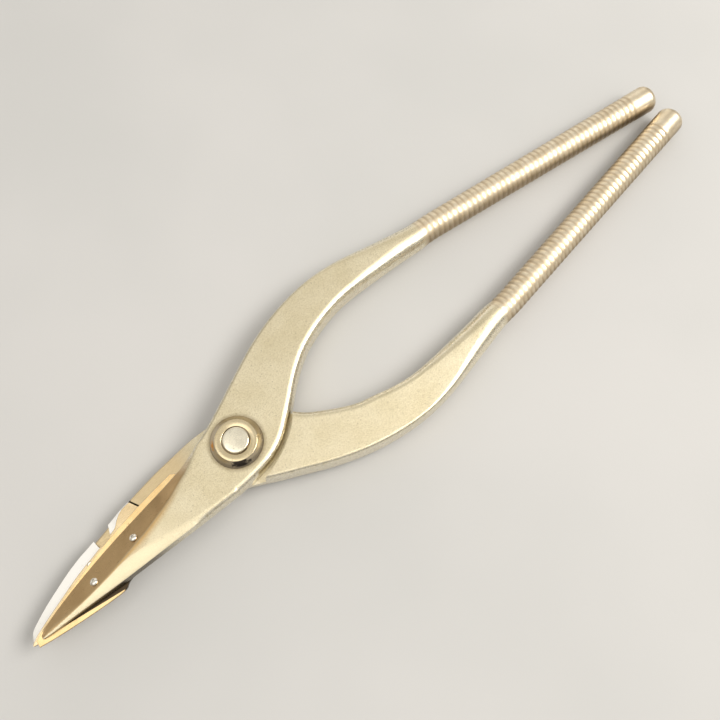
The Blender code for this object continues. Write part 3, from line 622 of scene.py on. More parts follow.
upper_plate = rounded_plate("upper_jaw_plate_ground", upper_plate_outline(),
                            UPPER_PLATE_BOTTOM, UPPER_PLATE_TOP, UPPER_PLATE_EDGE_R)
lower_plate = loft("lower_jaw_plate_ground", lower_plate_rings())
trim_low, trim_high = (p + slit_normal * SLIT_GAP for p in (slit_low, slit_high))
cut(lower_plate,
    as_cutter(prism("cutter_plate_rear", [
        (0, trim_low[1]), tuple(trim_low), tuple(trim_high), (0, trim_high[1])], -6.0, 3.0)),
    as_cutter(prism("cutter_notch", notch_outline(), -6.0, 3.0)))


# ---------------------------------------------------------------- rivets
def rivet_head(base):
    """Quarter profile of the domed head, starting at height base."""
    angles = [math.radians(90 * k / 10) for k in range(11)]
    return [(RIVET_HEAD_R * math.cos(a), base + RIVET_HEAD_H * math.sin(a)) for a in angles]


def rivet_hole(name, frame, start, arm_ob, plate_ob):
    hole = rod_cutter("cutter_hole_" + name, RIVET_R + RIVET_FIT, start, 3, 32, frame)
    cut(arm_ob, hole)
    cut(plate_ob, hole)


def upper_rivet(name, x, y):
    """Rivet square to the facet, its tail cut off near the plate's underside."""
    top, edge_z, width = (lerp_table(t, x) for t in (UPPER_TOP, FACET_Z, FACET_W))
    z = edge_z + (top - edge_z) * (y - lerp_table(UPPER_JAW, x)) / width
    tilt = math.atan2(top - edge_z, width)
    frame = (Vector((x, y, z)), Vector((0, -math.sin(tilt), math.cos(tilt))))
    foot = -(z - UPPER_PLATE_BOTTOM) / math.cos(tilt) - 0.8
    ob = revolve(name + "_head", [(0, foot), (RIVET_R, foot), (RIVET_R, 0.1)]
                 + rivet_head(0.1), 48, frame=frame)
    square = [(x - 5, y - 5), (x + 5, y - 5), (x + 5, y + 8), (x - 5, y + 8)]
    cut(ob, as_cutter(prism("cutter_tail_" + name, square, -8, UPPER_PLATE_BOTTOM + 0.06)))
    rivet_hole(name, frame, foot - 3, upper_arm, upper_plate)
    return ob


def lower_rivet(name, x, y):
    """Rivet with its head under the arm and its end just below the plate's top."""
    foot_z = lerp_table(LOWER_FOOT, x)
    frame = (Vector((x, y, foot_z)), Vector((0, 0, -1)))
    end = -(LOWER_PLATE_TOP - 0.06 - foot_z)
    ob = revolve(name + "_head", [(0, end), (RIVET_R - 0.05, end), (RIVET_R, end + 0.05),
                                  (RIVET_R, 0.12)] + rivet_head(0.12), 48, frame=frame)
    rivet_hole(name, frame, -6, lower_arm, lower_plate)
    return ob


rivets = {name: upper_rivet(name, x, y) for name, (x, y) in UPPER_RIVETS.items()}
rivets.update({name: lower_rivet(name, x, y) for name, (x, y) in LOWER_RIVETS.items()})


# ---------------------------------------------------------------- pivot
def pin_profile():
    """Straight pin, rolled at the rim and slightly domed at both ends."""
    rim_z, rim_r = PIN_END_Z - 0.45, 0.35
    up = [(PIN_R, rim_z)]
    for k in range(1, 9):
        a = math.radians(10 * k)
        up.append((PIN_R - rim_r * (1 - math.cos(a)), rim_z + rim_r * math.sin(a)))
    r0, z0 = up[-1]
    for k in range(1, 7):
        t = k / 7
        up.append((r0 * (1 - t), z0 + (PIN_END_Z - z0) * (1 - (1 - t) ** 2)))
    up.append((0, PIN_END_Z))
    return [(r, -h) for r, h in reversed(up)] + up


def collar_profile(sign):
    """Turned collar: short rim, faintly hollow flank, flat annulus, narrow groove at the pin."""
    bore, rim = PIN_R + COLLAR_FIT, 0.25
    p = [(bore, COLLAR_BASE_Z), (COLLAR_R - rim, COLLAR_BASE_Z)]
    for k in range(1, 6):
        a = math.radians(18 * k)
        p.append((COLLAR_R - rim + rim * math.sin(a), COLLAR_BASE_Z + rim * (1 - math.cos(a))))
    r0, z0, r1, z1 = COLLAR_R, COLLAR_BASE_Z + 0.42, COLLAR_TOP_R + 0.13, COLLAR_TOP_Z - 0.11
    for k in range(12):
        t = k / 11
        p.append((r0 + (r1 - r0) * t, z0 + (z1 - z0) * t - 0.10 * math.sin(math.pi * t)))
    p += [(COLLAR_TOP_R + 0.05, COLLAR_TOP_Z - 0.03), (COLLAR_TOP_R - 0.05, COLLAR_TOP_Z),
          (PIN_R + 0.46, COLLAR_TOP_Z), (PIN_R + 0.38, COLLAR_TOP_Z - 0.05),
          (PIN_R + 0.34, COLLAR_TOP_Z - 0.14), (PIN_R + 0.32, COLLAR_TOP_Z - 0.7),
          (bore, COLLAR_TOP_Z - 0.74)]
    return [(r, sign * h) for r, h in p]


pin = revolve("pivot_pin_turned", pin_profile())
collar_up = revolve("upper_pivot_collar_turned", collar_profile(1), closed_loop=True)
collar_down = revolve("lower_pivot_collar_turned", collar_profile(-1), closed_loop=True)

# CAD piece: object, body it rides on, finish slot
pieces = {
    "upper_arm": (upper_arm, "upper_half", "satin_nickel"),
    "lower_arm": (lower_arm, "lower_half", "satin_nickel"),
    "upper_jaw_plate": (upper_plate, "upper_half", "blade_steel"),
    "lower_jaw_plate": (lower_plate, "lower_half", "blade_steel"),
    **{name: (ob, "upper_half" if name in UPPER_RIVETS else "lower_half", "polished_nickel")
       for name, ob in rivets.items()},
    "pivot_pin": (pin, "lower_half", "polished_nickel"),
    "upper_pivot_collar": (collar_up, "lower_half", "polished_nickel"),
    "lower_pivot_collar": (collar_down, "lower_half", "polished_nickel"),
}
for node, (ob, _, _) in pieces.items():
    settle(ob, weighted=node != "pivot_pin")
    ob.data.transform(Matrix.Translation((0, 0, LAP_Z * MM)))
for cutter in cutters:
    bpy.data.objects.remove(cutter, do_unlink=True)


# ---------------------------------------------------------------- shader helpers
class Shader:
    """Short hand for a node tree; positions are in metres.

    Sockets shared between the steps of one material are kept as attributes.
    """

    def __init__(self, name):
        self.mat = bpy.data.materials.new(name)
        self.mat.use_nodes = True
        self.tree = self.mat.node_tree
        self.bsdf = self.tree.nodes["Principled BSDF"]

    def node(self, kind, **props):
        node = self.tree.nodes.new(kind)
        for key, value in props.items():
            setattr(node, key, value)
        return node

    def link(self, source, target):
        self.tree.links.new(source, target)

    def put(self, sock, value):
        if isinstance(value, bpy.types.NodeSocket):
            self.link(value, sock)
        else:
            sock.default_value = value

    def math(self, op, a, b=0.0, clamp=False):
        node = self.node("ShaderNodeMath", operation=op, use_clamp=clamp)
        self.put(node.inputs[0], a)
        self.put(node.inputs[1], b)
        return node.outputs[0]

    def add(self, a, b, clamp=False):
        return self.math('ADD', a, b, clamp)

    def sub(self, a, b):
        return self.math('SUBTRACT', a, b)

    def mul(self, a, b):
        return self.math('MULTIPLY', a, b)

    def abs(self, a):
        return self.math('ABSOLUTE', a)

    def max(self, a, b):
        return self.math('MAXIMUM', a, b)

    def centred(self, noise, swing):
        """Noise shifted to lie about zero."""
        return self.mul(self.sub(noise, 0.5), swing)

    def radius(self):
        """Distance from the pin's axis."""
        return self.math('SQRT', self.add(self.mul(self.x, self.x), self.mul(self.y, self.y)))

    def line_distance(self, point, normal):
        """Signed distance in plan from a line through point (mm)."""
        return self.add(self.mul(self.sub(self.x, point[0] * MM), float(normal[0])),
                        self.mul(self.sub(self.y, point[1] * MM), float(normal[1])))

    def band(self, value, off, on):
        """Smooth mask: 0 at off, 1 at on; off may be the larger."""
        node = self.node("ShaderNodeMapRange", interpolation_type='SMOOTHSTEP', clamp=True)
        self.put(node.inputs["Value"], value)
        node.inputs["From Min"].default_value = min(off, on)
        node.inputs["From Max"].default_value = max(off, on)
        node.inputs["To Min"].default_value = 0.0 if off < on else 1.0
        node.inputs["To Max"].default_value = 1.0 if off < on else 0.0
        return node.outputs["Result"]

    def coords(self):
        return self.node("ShaderNodeTexCoord").outputs["Object"]

    def split(self, vec):
        node = self.node("ShaderNodeSeparateXYZ")
        self.link(vec, node.inputs[0])
        return tuple(node.outputs[:3])

    def place(self):
        """Keeps the position, whole and split."""
        self.co = self.coords()
        self.x, self.y, self.z = self.split(self.co)

    def facing(self):
        """Keeps the y and z of the surface normal in the piece's own axes."""
        geo = self.node("ShaderNodeNewGeometry")
        turn = self.node("ShaderNodeVectorTransform", vector_type='NORMAL',
                         convert_from='WORLD', convert_to='OBJECT')
        self.link(geo.outputs["Normal"], turn.inputs[0])
        _, self.ny, self.nz = self.split(turn.outputs[0])

    def noise(self, vec, scale, detail=3.0, rough=0.6):
        node = self.node("ShaderNodeTexNoise")
        self.link(vec, node.inputs["Vector"])
        node.inputs["Scale"].default_value = scale
        node.inputs["Detail"].default_value = detail
        node.inputs["Roughness"].default_value = rough
        return node.outputs["Fac"]

    def streaks(self, scale, angle):
        """Noise stretched by per-axis scales and turned about z, in degrees."""
        node = self.node("ShaderNodeMapping")
        self.link(self.co, node.inputs["Vector"])
        node.inputs["Rotation"].default_value = (0, 0, math.radians(angle))
        node.inputs["Scale"].default_value = scale
        return self.noise(node.outputs[0], scale=1.0)

    def cells(self, vec, scale):
        node = self.node("ShaderNodeTexVoronoi")
        self.link(vec, node.inputs["Vector"])
        node.inputs["Scale"].default_value = scale
        return node.outputs["Distance"]

    def layer(self, base, over, mask, amount=None):
        """Colour over laid on base where mask is 1, thinned by amount."""
        if amount is not None:
            mask = self.mul(mask, amount)
        node = self.node("ShaderNodeMix", data_type='RGBA')
        self.put(node.inputs["Factor"], mask)
        for sock, value in ((node.inputs[6], base), (node.inputs[7], over)):
            self.put(sock, (*value, 1.0) if isinstance(value, tuple) else value)
        return node.outputs[2]

    def blend(self, mask, off, on):
        """Number that runs from off to on with the mask."""
        node = self.node("ShaderNodeMix", data_type='FLOAT')
        self.put(node.inputs["Factor"], mask)
        self.put(node.inputs[2], off)
        self.put(node.inputs[3], on)
        return node.outputs[0]

    def bump(self, height, strength, distance, under=None):
        node = self.node("ShaderNodeBump")
        self.put(node.inputs["Strength"], strength)
        node.inputs["Distance"].default_value = distance
        self.link(height, node.inputs["Height"])
        if under is not None:
            self.link(under, node.inputs["Normal"])
        return node.outputs["Normal"]

    def finish(self, color, rough, normal, metal=1.0):
        self.put(self.bsdf.inputs["Base Color"], color)
        self.put(self.bsdf.inputs["Roughness"], rough)
        self.put(self.bsdf.inputs["Metallic"], metal)
        self.link(normal, self.bsdf.inputs["Normal"])
        return self.mat


def scaled(color, factor):
    return tuple(min(1.0, c * factor) for c in color)


def slit_band(mat, half_width, top):
    """1 inside the butt joint behind the lower plate, below top (mm from the lap plane)."""
    dist = mat.line_distance(SLIT_A, slit_normal)
    off_centre = mat.abs(mat.sub(dist, 0.5 * SLIT_GAP * MM))
    low = mat.band(mat.z, off=(LAP_Z + top) * MM, on=(LAP_Z + top - 0.12) * MM)
    return mat.mul(mat.band(off_centre, off=(half_width + 0.06) * MM, on=half_width * MM), low)


SLIT_PAINTED_SHADE = (0.02, 0.015, 0.01)


# ---------------------------------------------------------------- arm materials
def groove_mask(mat, side):
    """1 in the rolled grooves, found from the distance along the tilted grip."""
    cos_t, sin_t = math.cos(GRIP_TILT), math.sin(GRIP_TILT)
    run = mat.add(mat.mul(mat.x, -cos_t), mat.mul(mat.y, -side * sin_t))
    y0 = (HANDLE_MID_Y + side * GRIP_D0) * MM
    start = GRIP_START * MM * cos_t - side * sin_t * y0
    phase = mat.math('DIVIDE', mat.sub(run, start), RING_PITCH * MM / cos_t)
    # 0 in a groove, 0.5 on a ridge
    wave = mat.abs(mat.sub(mat.math('FRACT', phase), 0.5))
    return mat.band(wave, off=0.34, on=0.03)


def arm_shader(name, side):
    """Satin-blasted nickel with bright rubbed edges; the grips' grooves get grime and painted
    shade.
    """
    mat = Shader(name)
    mat.place()
    mat.facing()
    co = mat.co
    flat = mat.band(mat.abs(mat.nz), off=0.80, on=0.965)
    grip = mat.band(mat.x, off=-0.0865, on=-0.0895)

    grain = mat.noise(co, scale=3300.0, rough=0.65)
    coarse = mat.noise(co, scale=1150.0)
    fine = mat.noise(co, scale=9000.0, detail=2.0)
    blotch = mat.noise(co, scale=95.0, detail=4.0)
    mat.grain, mat.coarse, mat.blotch = grain, coarse, blotch
    pits = mat.band(mat.cells(co, scale=620.0), off=0.13, on=0.06)
    scuff = mat.band(mat.streaks(scale=(260.0, 5200.0, 5200.0), angle=24), off=0.63, on=0.74)

    color = mat.layer((0.70, 0.615, 0.415), over=(0.775, 0.695, 0.50),
                      mask=mat.band(blotch, off=0.30, on=0.72))
    color = mat.layer(color, over=(0.41, 0.335, 0.19),
                      mask=mat.band(grain, off=0.49, on=0.66), amount=0.44)
    color = mat.layer(color, over=(0.93, 0.86, 0.68),
                      mask=mat.band(grain, off=0.48, on=0.32), amount=0.40)
    color = mat.layer(color, over=(0.50, 0.41, 0.25),
                      mask=mat.band(coarse, off=0.54, on=0.72), amount=0.22)
    color = mat.layer(color, over=(0.24, 0.18, 0.10), mask=pits, amount=0.55)
    edge = mat.mul(mat.sub(1.0, flat), mat.band(coarse, off=0.80, on=0.35))
    color = mat.layer(color, over=(0.93, 0.875, 0.74), mask=edge, amount=0.80)
    color = mat.layer(color, over=(0.93, 0.88, 0.76), mask=mat.mul(scuff, flat), amount=0.25)

    # grips: plated bright; the grooves get grime and painted shade and are dulled
    groove = groove_mask(mat, side)
    ringed = mat.mul(grip, mat.band(mat.x, off=-0.1797, on=-0.1787))
    grime = mat.mul(mat.mul(groove, ringed),
                    mat.blend(mat.noise(co, scale=420.0, rough=0.55), off=0.45, on=1.0))
    grip_blotch = mat.noise(co, scale=260.0, detail=4.0, rough=0.55)
    plated = mat.layer((0.80, 0.68, 0.49), over=(0.89, 0.785, 0.60),
                       mask=mat.band(grip_blotch, off=0.4, on=0.62))
    plated = mat.layer(plated, over=(0.5, 0.4, 0.24),
                       mask=mat.band(grain, off=0.52, on=0.7), amount=0.3)
    color = mat.layer(color, over=plated, mask=grip)
    # grime and painted shade darken the grooves
    color = mat.layer(color, over=(0.40, 0.285, 0.17), mask=grime, amount=0.62)
    # painted shade: the sides of the grips are darkened to stand in for a dark surround they
    # reflect
    grip_side_shade = mat.mul(grip, mat.mul(mat.band(mat.nz, off=0.74, on=0.12),
                                   mat.band(mat.nz, off=-0.62, on=-0.12)))
    color = mat.layer(color, over=(0.235, 0.165, 0.095), mask=grip_side_shade,
                      amount=mat.blend(blotch, off=0.62, on=0.88))

    rough = mat.blend(flat, off=0.28, on=0.43)
    rough = mat.blend(grip, off=rough, on=0.37)
    rough = mat.add(rough, mat.centred(grain, swing=0.26))
    rough = mat.add(rough, mat.mul(grime, 0.25), clamp=True)    # grime dulls the grooves

    strength = mat.blend(flat, off=0.18, on=0.55)
    strength = mat.blend(grip, off=strength, on=0.12)
    bump = mat.bump(grain, strength=strength, distance=0.00014)
    bump = mat.bump(fine, strength=0.15, distance=0.00004, under=bump)
    bump = mat.bump(blotch, strength=0.22, distance=0.0005, under=bump)
    return mat, color, rough, bump


def upper_arm_material():
    mat, color, rough, bump = arm_shader("satin_nickel_upper", UPPER)
    # ground facet of the jaw, lightly lapped along its length; its dark brown tint is painted
    # shade
    sloped = mat.mul(mat.band(mat.ny, off=-0.20, on=-0.40), mat.band(mat.nz, off=0.55, on=0.72))
    facet = mat.mul(sloped, mat.band(mat.x, off=0.010, on=0.020))
    ridge = mat.mul(mat.mul(mat.band(mat.ny, off=0.00, on=-0.22),
                            mat.band(mat.x, off=0.014, on=0.034)), mat.sub(1.0, sloped))
    lines = mat.streaks(scale=(420.0, 6500.0, 2500.0), angle=-9)
    tint = mat.layer((0.54, 0.365, 0.18), over=(0.62, 0.43, 0.22),
                     mask=mat.band(mat.blotch, off=0.35, on=0.65))
    tint = mat.layer(tint, over=(0.50, 0.33, 0.16),
                     mask=mat.band(lines, off=0.48, on=0.68), amount=0.28)
    tint = mat.layer(tint, over=(0.40, 0.26, 0.12),
                     mask=mat.band(mat.grain, off=0.55, on=0.72), amount=0.25)
    # polished top of the jaw, from the ridge to its crisp edge
    jaw = mat.band(mat.x, off=0.020, on=0.040)
    crown = mat.mul(jaw, mat.mul(mat.band(mat.ny, off=-0.12, on=0.02),
                                 mat.band(mat.nz, off=0.80, on=0.95)))
    color = mat.layer(color, over=(0.84, 0.735, 0.50), mask=crown, amount=0.76)
    # painted highlight: a warm orange glint along the ridge
    color = mat.layer(color, over=(0.86, 0.56, 0.23), mask=ridge, amount=0.85)
    # painted shade: the facet takes the dark brown tint
    color = mat.layer(color, over=tint, mask=facet)
    # painted shade: the high y wall is darkened, near black in patches
    wall = mat.mul(mat.band(mat.ny, off=0.55, on=0.75), mat.band(mat.x, off=0.024, on=0.040))
    color = mat.layer(color, over=(0.085, 0.064, 0.044), mask=wall,
                      amount=mat.blend(mat.blotch, off=0.80, on=0.95))
    rough = mat.blend(facet, off=rough, on=mat.add(0.30, mat.centred(lines, swing=0.16)))
    polished = mat.mul(mat.max(ridge, crown), 0.8)
    rough = mat.blend(polished, off=rough, on=0.26)
    # a thin darker ring round the foot of the collar
    halo = mat.mul(mat.band(mat.radius(), off=0.0092, on=0.0079),
                   mat.band(mat.nz, off=0.9, on=0.97))
    halo = mat.mul(halo, mat.blend(mat.coarse, off=0.3, on=1.0))
    color = mat.layer(color, over=(0.30, 0.225, 0.12), mask=halo, amount=0.75)
    bump = mat.bump(lines, strength=mat.mul(facet, 0.12), distance=0.00005, under=bump)
    return mat.finish(color, rough, bump)


def lower_arm_material():
    """The jaw's low y side and top are tinted and lined; the butt joint gets painted shade."""
    mat, color, rough, bump = arm_shader("satin_nickel_lower", LOWER)
    jaw = mat.mul(mat.band(mat.x, off=0.002, on=0.012), mat.band(mat.ny, off=-0.10, on=-0.30))
    top = mat.mul(mat.band(mat.x, off=0.008, on=0.018), mat.band(mat.nz, off=0.70, on=0.90))
    lines = mat.streaks(scale=(520.0, 6500.0, 2500.0), angle=14)
    tint = mat.layer((0.66, 0.51, 0.29), over=(0.46, 0.33, 0.17),
                     mask=mat.band(lines, off=0.46, on=0.68), amount=0.4)
    color = mat.layer(color, over=tint, mask=mat.max(jaw, top), amount=0.80)
    rough = mat.blend(mat.max(jaw, top), off=rough, on=0.30)
    slit = slit_band(mat, half_width=0.42, top=-1.28)
    # painted shade in the butt joint
    color = mat.layer(color, over=SLIT_PAINTED_SHADE, mask=slit, amount=0.96)
    return mat.finish(color, mat.blend(slit, off=rough, on=0.7), bump)


# ---------------------------------------------------------------- plate materials
STRIP_A, STRIP_B = (48.1, 11.2), (71.4, 7.4)    # ends of the upper plate's shaded strip (mm)


def strip_shade(mat, color):
    """Shades the upper plate beside the jaw's wall."""
    (ax, ay), (bx, by) = STRIP_A, STRIP_B
    length = math.hypot(bx - ax, by - ay)
    outside = mat.line_distance(STRIP_A, (-(by - ay) / length, (bx - ax) / length))
    shade = mat.mul(mat.band(outside, off=0.00016, on=0.00002),
                    mat.mul(mat.band(mat.y, off=0.004, on=0.006),
                            mat.band(mat.x, off=0.0722, on=0.0708)))
    shade = mat.max(shade, mat.mul(mat.band(mat.x, off=0.0492, on=0.0484),
                                   mat.band(mat.y, off=0.004, on=0.006)))
    return mat.layer(color, over=(0.035, 0.025, 0.017), mask=shade, amount=0.97)


def slit_shade(mat, color):
    gap = slit_band(mat, half_width=0.30, top=-1.30)
    # painted shade in the butt joint
    return mat.layer(color, over=SLIT_PAINTED_SHADE, mask=gap, amount=0.96)


def plate_material(name, dark, light, bevel_color, bevel_off, bevel_on, bevel_matt, shade):
    """Ground steel; bevel_off and bevel_on are normal y values, bevel_matt lowers the metal."""
    mat = Shader(name)
    mat.place()
    mat.facing()
    lines = mat.streaks(scale=(700.0, 9000.0, 3000.0), angle=-14)
    blotch = mat.noise(mat.co, scale=210.0, rough=0.55)
    color = mat.layer(dark, over=light, mask=mat.band(blotch, off=0.35, on=0.65))
    color = mat.layer(color, over=scaled(dark, 0.65),
                      mask=mat.band(lines, off=0.5, on=0.72), amount=0.25)
    bevel = mat.mul(mat.band(mat.ny, off=bevel_off, on=bevel_on),
                    mat.band(mat.nz, off=0.3, on=0.6))
    # painted highlight: the bevel is lightened, near white and matt on the lower plate
    color = mat.layer(color, over=bevel_color, mask=bevel)
    stain = mat.band(mat.noise(mat.co, scale=620.0, detail=2.0, rough=0.55), off=0.66, on=0.74)
    color = mat.layer(color, over=(0.35, 0.25, 0.13), mask=stain, amount=0.40)
    # painted shade: the plates' side walls are darkened
    side = mat.band(mat.abs(mat.nz), off=0.5, on=0.2)
    color = mat.layer(color, over=(0.34, 0.25, 0.13), mask=side, amount=0.7)
    rough = mat.add(mat.blend(bevel, off=0.24, on=0.30), mat.centred(lines, swing=0.12),
                    clamp=True)
    color = shade(mat, color)
    bump = mat.bump(lines, strength=0.10, distance=0.00003)
    metal = mat.blend(mat.mul(bevel, bevel_matt), off=1.0, on=0.15)
    return mat.finish(color, rough, bump, metal)


# ---------------------------------------------------------------- pivot materials
def collar_marks(mat, color):
    r, height, blotch = mat.r, mat.height, mat.blotch
    # the flat on top is worn to a warmer gold
    worn = mat.mul(mat.band(r, off=0.00624, on=0.00612), mat.band(r, off=0.00412, on=0.00424))
    color = mat.layer(color, over=(0.70, 0.56, 0.31), mask=worn,
                      amount=mat.blend(blotch, off=0.45, on=0.95))
    # painted shade: the flank is darker than that flat
    flank = mat.band(r, off=0.00612, on=0.00628)
    color = mat.layer(color, over=(0.33, 0.25, 0.155), mask=flank,
                      amount=mat.blend(blotch, off=0.50, on=0.80))
    # grime and painted shade in the groove between the pin and its collar
    gap = mat.mul(mat.band(r, off=0.00428, on=0.00421),
                  mat.band(height, off=0.00694, on=0.00686))
    color = mat.layer(color, over=(0.24, 0.175, 0.10), mask=gap, amount=0.72)
    # painted shade: the foot of the collar is darkened
    foot = mat.mul(mat.band(height, off=0.00530, on=0.00490),
                   mat.band(r, off=0.0072, on=0.0076))
    color = mat.layer(color, over=(0.11, 0.078, 0.045), mask=foot,
                      amount=mat.blend(blotch, off=0.5, on=0.95))
    around = mat.math('ARCTAN2', mat.y, mat.x)
    wobble = mat.centred(mat.noise(mat.co, scale=1500.0), swing=0.9)

    def patch(color, angle, spread, inner, outer, over, amount):
        """Ragged patch at an angle (radians); the pairs are off and on limits."""
        mask = mat.band(mat.add(mat.abs(mat.sub(around, angle)), wobble), *spread)
        mask = mat.mul(mask, mat.mul(mat.band(r, *inner), mat.band(r, *outer)))
        return mat.layer(color, over, mask, amount)

    # a dark patch on one side of the flank and an orange fleck on the other
    color = patch(color, angle=1.12, spread=(0.42, 0.24), inner=(0.0060, 0.0063),
                  outer=(0.00765, 0.0073), over=(0.028, 0.022, 0.022), amount=0.93)
    return patch(color, angle=-0.53, spread=(0.20, 0.08), inner=(0.0064, 0.0067),
                 outer=(0.0075, 0.0071), over=(0.80, 0.33, 0.05), amount=0.85)


def pin_marks(mat, color):
    """Darkens the pin's side wall down in the groove: grime and painted shade."""
    wall = mat.mul(mat.band(mat.r, off=0.00374, on=0.00380),
                   mat.band(mat.height, off=0.00745, on=0.00725))
    return mat.layer(color, over=(0.26, 0.19, 0.11), mask=wall, amount=0.72)


def turned_material(name, tint, spot_amount, marks):
    """Polished nickel with the fine rings a lathe leaves and a little grime."""
    mat = Shader(name)
    mat.place()
    mat.r = mat.radius()
    mat.height = mat.abs(mat.sub(mat.z, LAP_Z * MM))    # from the lap plane
    profile = mat.node("ShaderNodeCombineXYZ")
    mat.link(mat.r, profile.inputs[0])
    mat.link(mat.z, profile.inputs[1])
    rings = mat.noise(profile.outputs[0], scale=5200.0)
    mat.blotch = mat.noise(mat.co, scale=330.0, rough=0.55)
    spots = mat.band(mat.noise(mat.co, scale=900.0), off=0.62, on=0.72)
    color = mat.layer(tint, over=scaled(tint, 1.12),
                      mask=mat.band(mat.blotch, off=0.35, on=0.65))
    color = mat.layer(color, over=scaled(tint, 0.62),
                      mask=mat.band(rings, off=0.5, on=0.7), amount=0.25)
    color = mat.layer(color, over=(0.22, 0.16, 0.09), mask=spots, amount=spot_amount)
    color = marks(mat, color)
    rough = mat.add(mat.blend(spots, off=0.22, on=0.36), mat.centred(rings, swing=0.10))
    bump = mat.bump(rings, strength=0.08, distance=0.00004)
    bump = mat.bump(mat.blotch, strength=0.10, distance=0.0002, under=bump)
    return mat.finish(color, rough, bump)


def rivet_material():
    mat = Shader("polished_nickel_rivet")
    co = mat.coords()
    mottle = mat.noise(co, scale=2600.0)
    fine = mat.noise(co, scale=9000.0, detail=2.0)
    color = mat.layer((0.80, 0.74, 0.62), over=(0.95, 0.91, 0.82),
                      mask=mat.band(mottle, off=0.35, on=0.65))
    color = mat.layer(color, over=(0.4, 0.3, 0.18),
                      mask=mat.band(fine, off=0.6, on=0.75), amount=0.3)
    rough = mat.blend(mottle, off=0.12, on=0.30)
    return mat.finish(color, rough, mat.bump(mottle, strength=0.15, distance=0.00008))


COLLAR_LOOK = dict(tint=(0.88, 0.80, 0.62), spot_amount=0.55, marks=collar_marks)
materials = {
    "upper_arm": upper_arm_material(),
    "lower_arm": lower_arm_material(),
    "upper_jaw_plate": plate_material(
        "blade_steel_upper", dark=(0.80, 0.56, 0.27), light=(0.87, 0.64, 0.33),
        bevel_color=(0.9, 0.8, 0.6), bevel_off=-0.3, bevel_on=-0.6, bevel_matt=0.0,
        shade=strip_shade),
    "lower_jaw_plate": plate_material(
        "blade_steel_lower", dark=(0.66, 0.51, 0.30), light=(0.76, 0.61, 0.38),
        bevel_color=(0.95, 0.93, 0.88), bevel_off=-0.08, bevel_on=-0.20, bevel_matt=1.0,
        shade=slit_shade),
    "pivot_pin": turned_material("polished_nickel_pin", tint=(0.90, 0.83, 0.66),
                                 spot_amount=0.30, marks=pin_marks),
    "upper_pivot_collar": turned_material("polished_nickel_collar", **COLLAR_LOOK),
    "lower_pivot_collar": turned_material("polished_nickel_collar_under", **COLLAR_LOOK),
}
rivet_look = rivet_material()
for node, (ob, body, slot) in pieces.items():
    ob.data.materials.clear()
    ob.data.materials.append(materials.get(node, rivet_look))
    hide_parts(node)
    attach(ob, body)


# ---------------------------------------------------------------- floor
def floor_material():
    mat = Shader("pale_floor")
    co = mat.coords()
    broad = mat.noise(co, scale=9.0, rough=0.5)
    fine = mat.noise(co, scale=900.0)
    color = mat.layer((0.545, 0.54, 0.525), over=(0.585, 0.575, 0.56),
                      mask=mat.band(broad, off=0.3, on=0.7))
    bump = mat.bump(fine, strength=0.08, distance=0.0003)
    return mat.finish(color, rough=0.85, normal=bump, metal=0.0)


def build_floor():
    """The tool lies on the pin's lower end and on its grips, so the floor tips a little."""
    half_size = 1800.0
    contact = 186.0    # grip distance that touches the floor
    pin_z = LAP_Z - PIN_END_Z - 0.07
    grip_z = LAP_Z - grip_radius(contact) - 0.05
    slope = (grip_z - pin_z) / contact
    bm = bmesh.new()
    bm.faces.new([bm.verts.new((x * half_size * MM, y * half_size * MM,
                                (pin_z - slope * x * half_size) * MM))
                  for x, y in ((-1, -1), (1, -1), (1, 1), (-1, 1))])
    floor = add_mesh("floor", bm)
    floor.data.materials.append(floor_material())


build_floor()


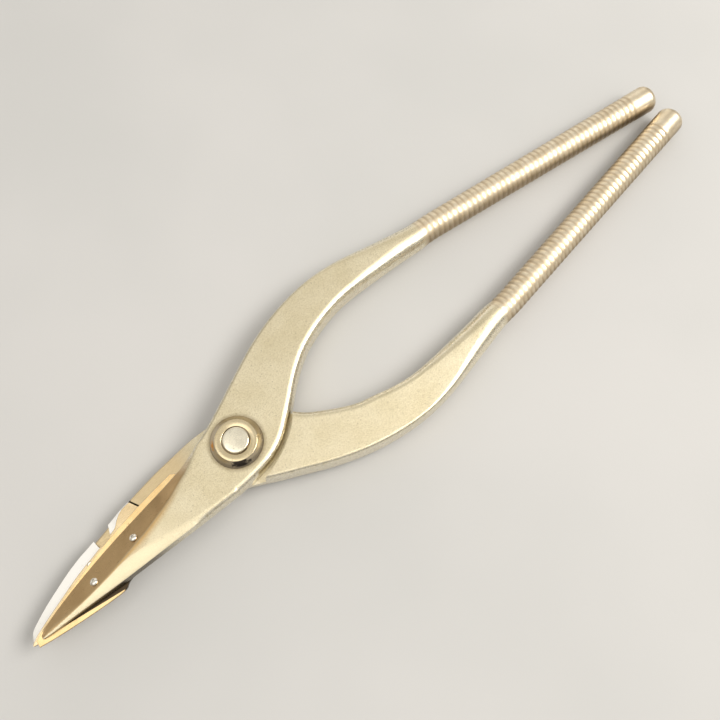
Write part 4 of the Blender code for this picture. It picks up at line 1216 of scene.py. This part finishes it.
# ---------------------------------------------------------------- light
def build_world():
    """Warm low surround that pales towards the zenith."""
    world = bpy.data.worlds.new("studio")
    bpy.context.scene.world = world
    world.use_nodes = True
    nodes, links = world.node_tree.nodes, world.node_tree.links
    background = nodes["Background"]
    coords = nodes.new("ShaderNodeTexCoord")
    split = nodes.new("ShaderNodeSeparateXYZ")
    links.new(coords.outputs["Generated"], split.inputs[0])
    ramp = nodes.new("ShaderNodeValToRGB")
    low, high = ramp.color_ramp.elements
    low.position, low.color = 0.0, (0.30, 0.275, 0.24, 1)
    high.position, high.color = 0.85, (0.82, 0.80, 0.765, 1)
    links.new(split.outputs[2], ramp.inputs[0])
    links.new(ramp.outputs[0], background.inputs["Color"])
    background.inputs["Strength"].default_value = 0.88


def area(name, location, target, size, power, color):
    """Rectangular light in metres and watts, aimed at target."""
    light = bpy.data.lights.new(name, 'AREA')
    light.shape = 'RECTANGLE'
    light.size, light.size_y = size
    light.energy = power
    light.color = color
    ob = bpy.data.objects.new(name, light)
    ob.location = location
    aim = Vector(target) - Vector(location)
    ob.rotation_euler = aim.to_track_quat('-Z', 'Y').to_euler()
    bpy.context.scene.collection.objects.link(ob)


build_world()
area("softbox_key", location=(-0.60, 0.44, 0.86), target=(-0.10, 0.0, 0.0),
     size=(0.62, 0.46), power=9.0, color=(1.0, 0.975, 0.93))
area("softbox_top", location=(0.42, 0.02, 1.05), target=(-0.05, 0.0, 0.0),
     size=(0.8, 0.9), power=2.2, color=(1.0, 0.97, 0.92))
area("softbox_low", location=(0.60, -0.86, 0.14), target=(0.06, 0.0, 0.0),
     size=(0.55, 0.22), power=0.35, color=(1.0, 0.98, 0.95))
area("softbox_fill", location=(-0.70, -0.90, 0.38), target=(-0.05, 0.0, 0.0),
     size=(1.0, 0.5), power=1.3, color=(1.0, 0.97, 0.92))


# ---------------------------------------------------------------- camera
def build_camera():
    data = bpy.data.cameras.new("camera")
    data.sensor_width = 36.0
    data.lens = 37.75
    data.clip_start = 0.01
    camera = bpy.data.objects.new("camera", data)
    right = Vector((-0.74938, 0.66165, 0.02542))
    down = Vector((0.61717, 0.71187, -0.33516))
    forward = Vector((-0.23985, -0.23547, -0.94182))
    turn = Matrix((right, -down, -forward)).transposed().to_4x4()
    camera.matrix_world = Matrix.Translation((0.0110, 0.0581, 0.2192 + LAP_Z * MM)) @ turn
    bpy.context.scene.collection.objects.link(camera)
    bpy.context.scene.camera = camera


build_camera()
bpy.context.scene.view_settings.view_transform = 'Standard'
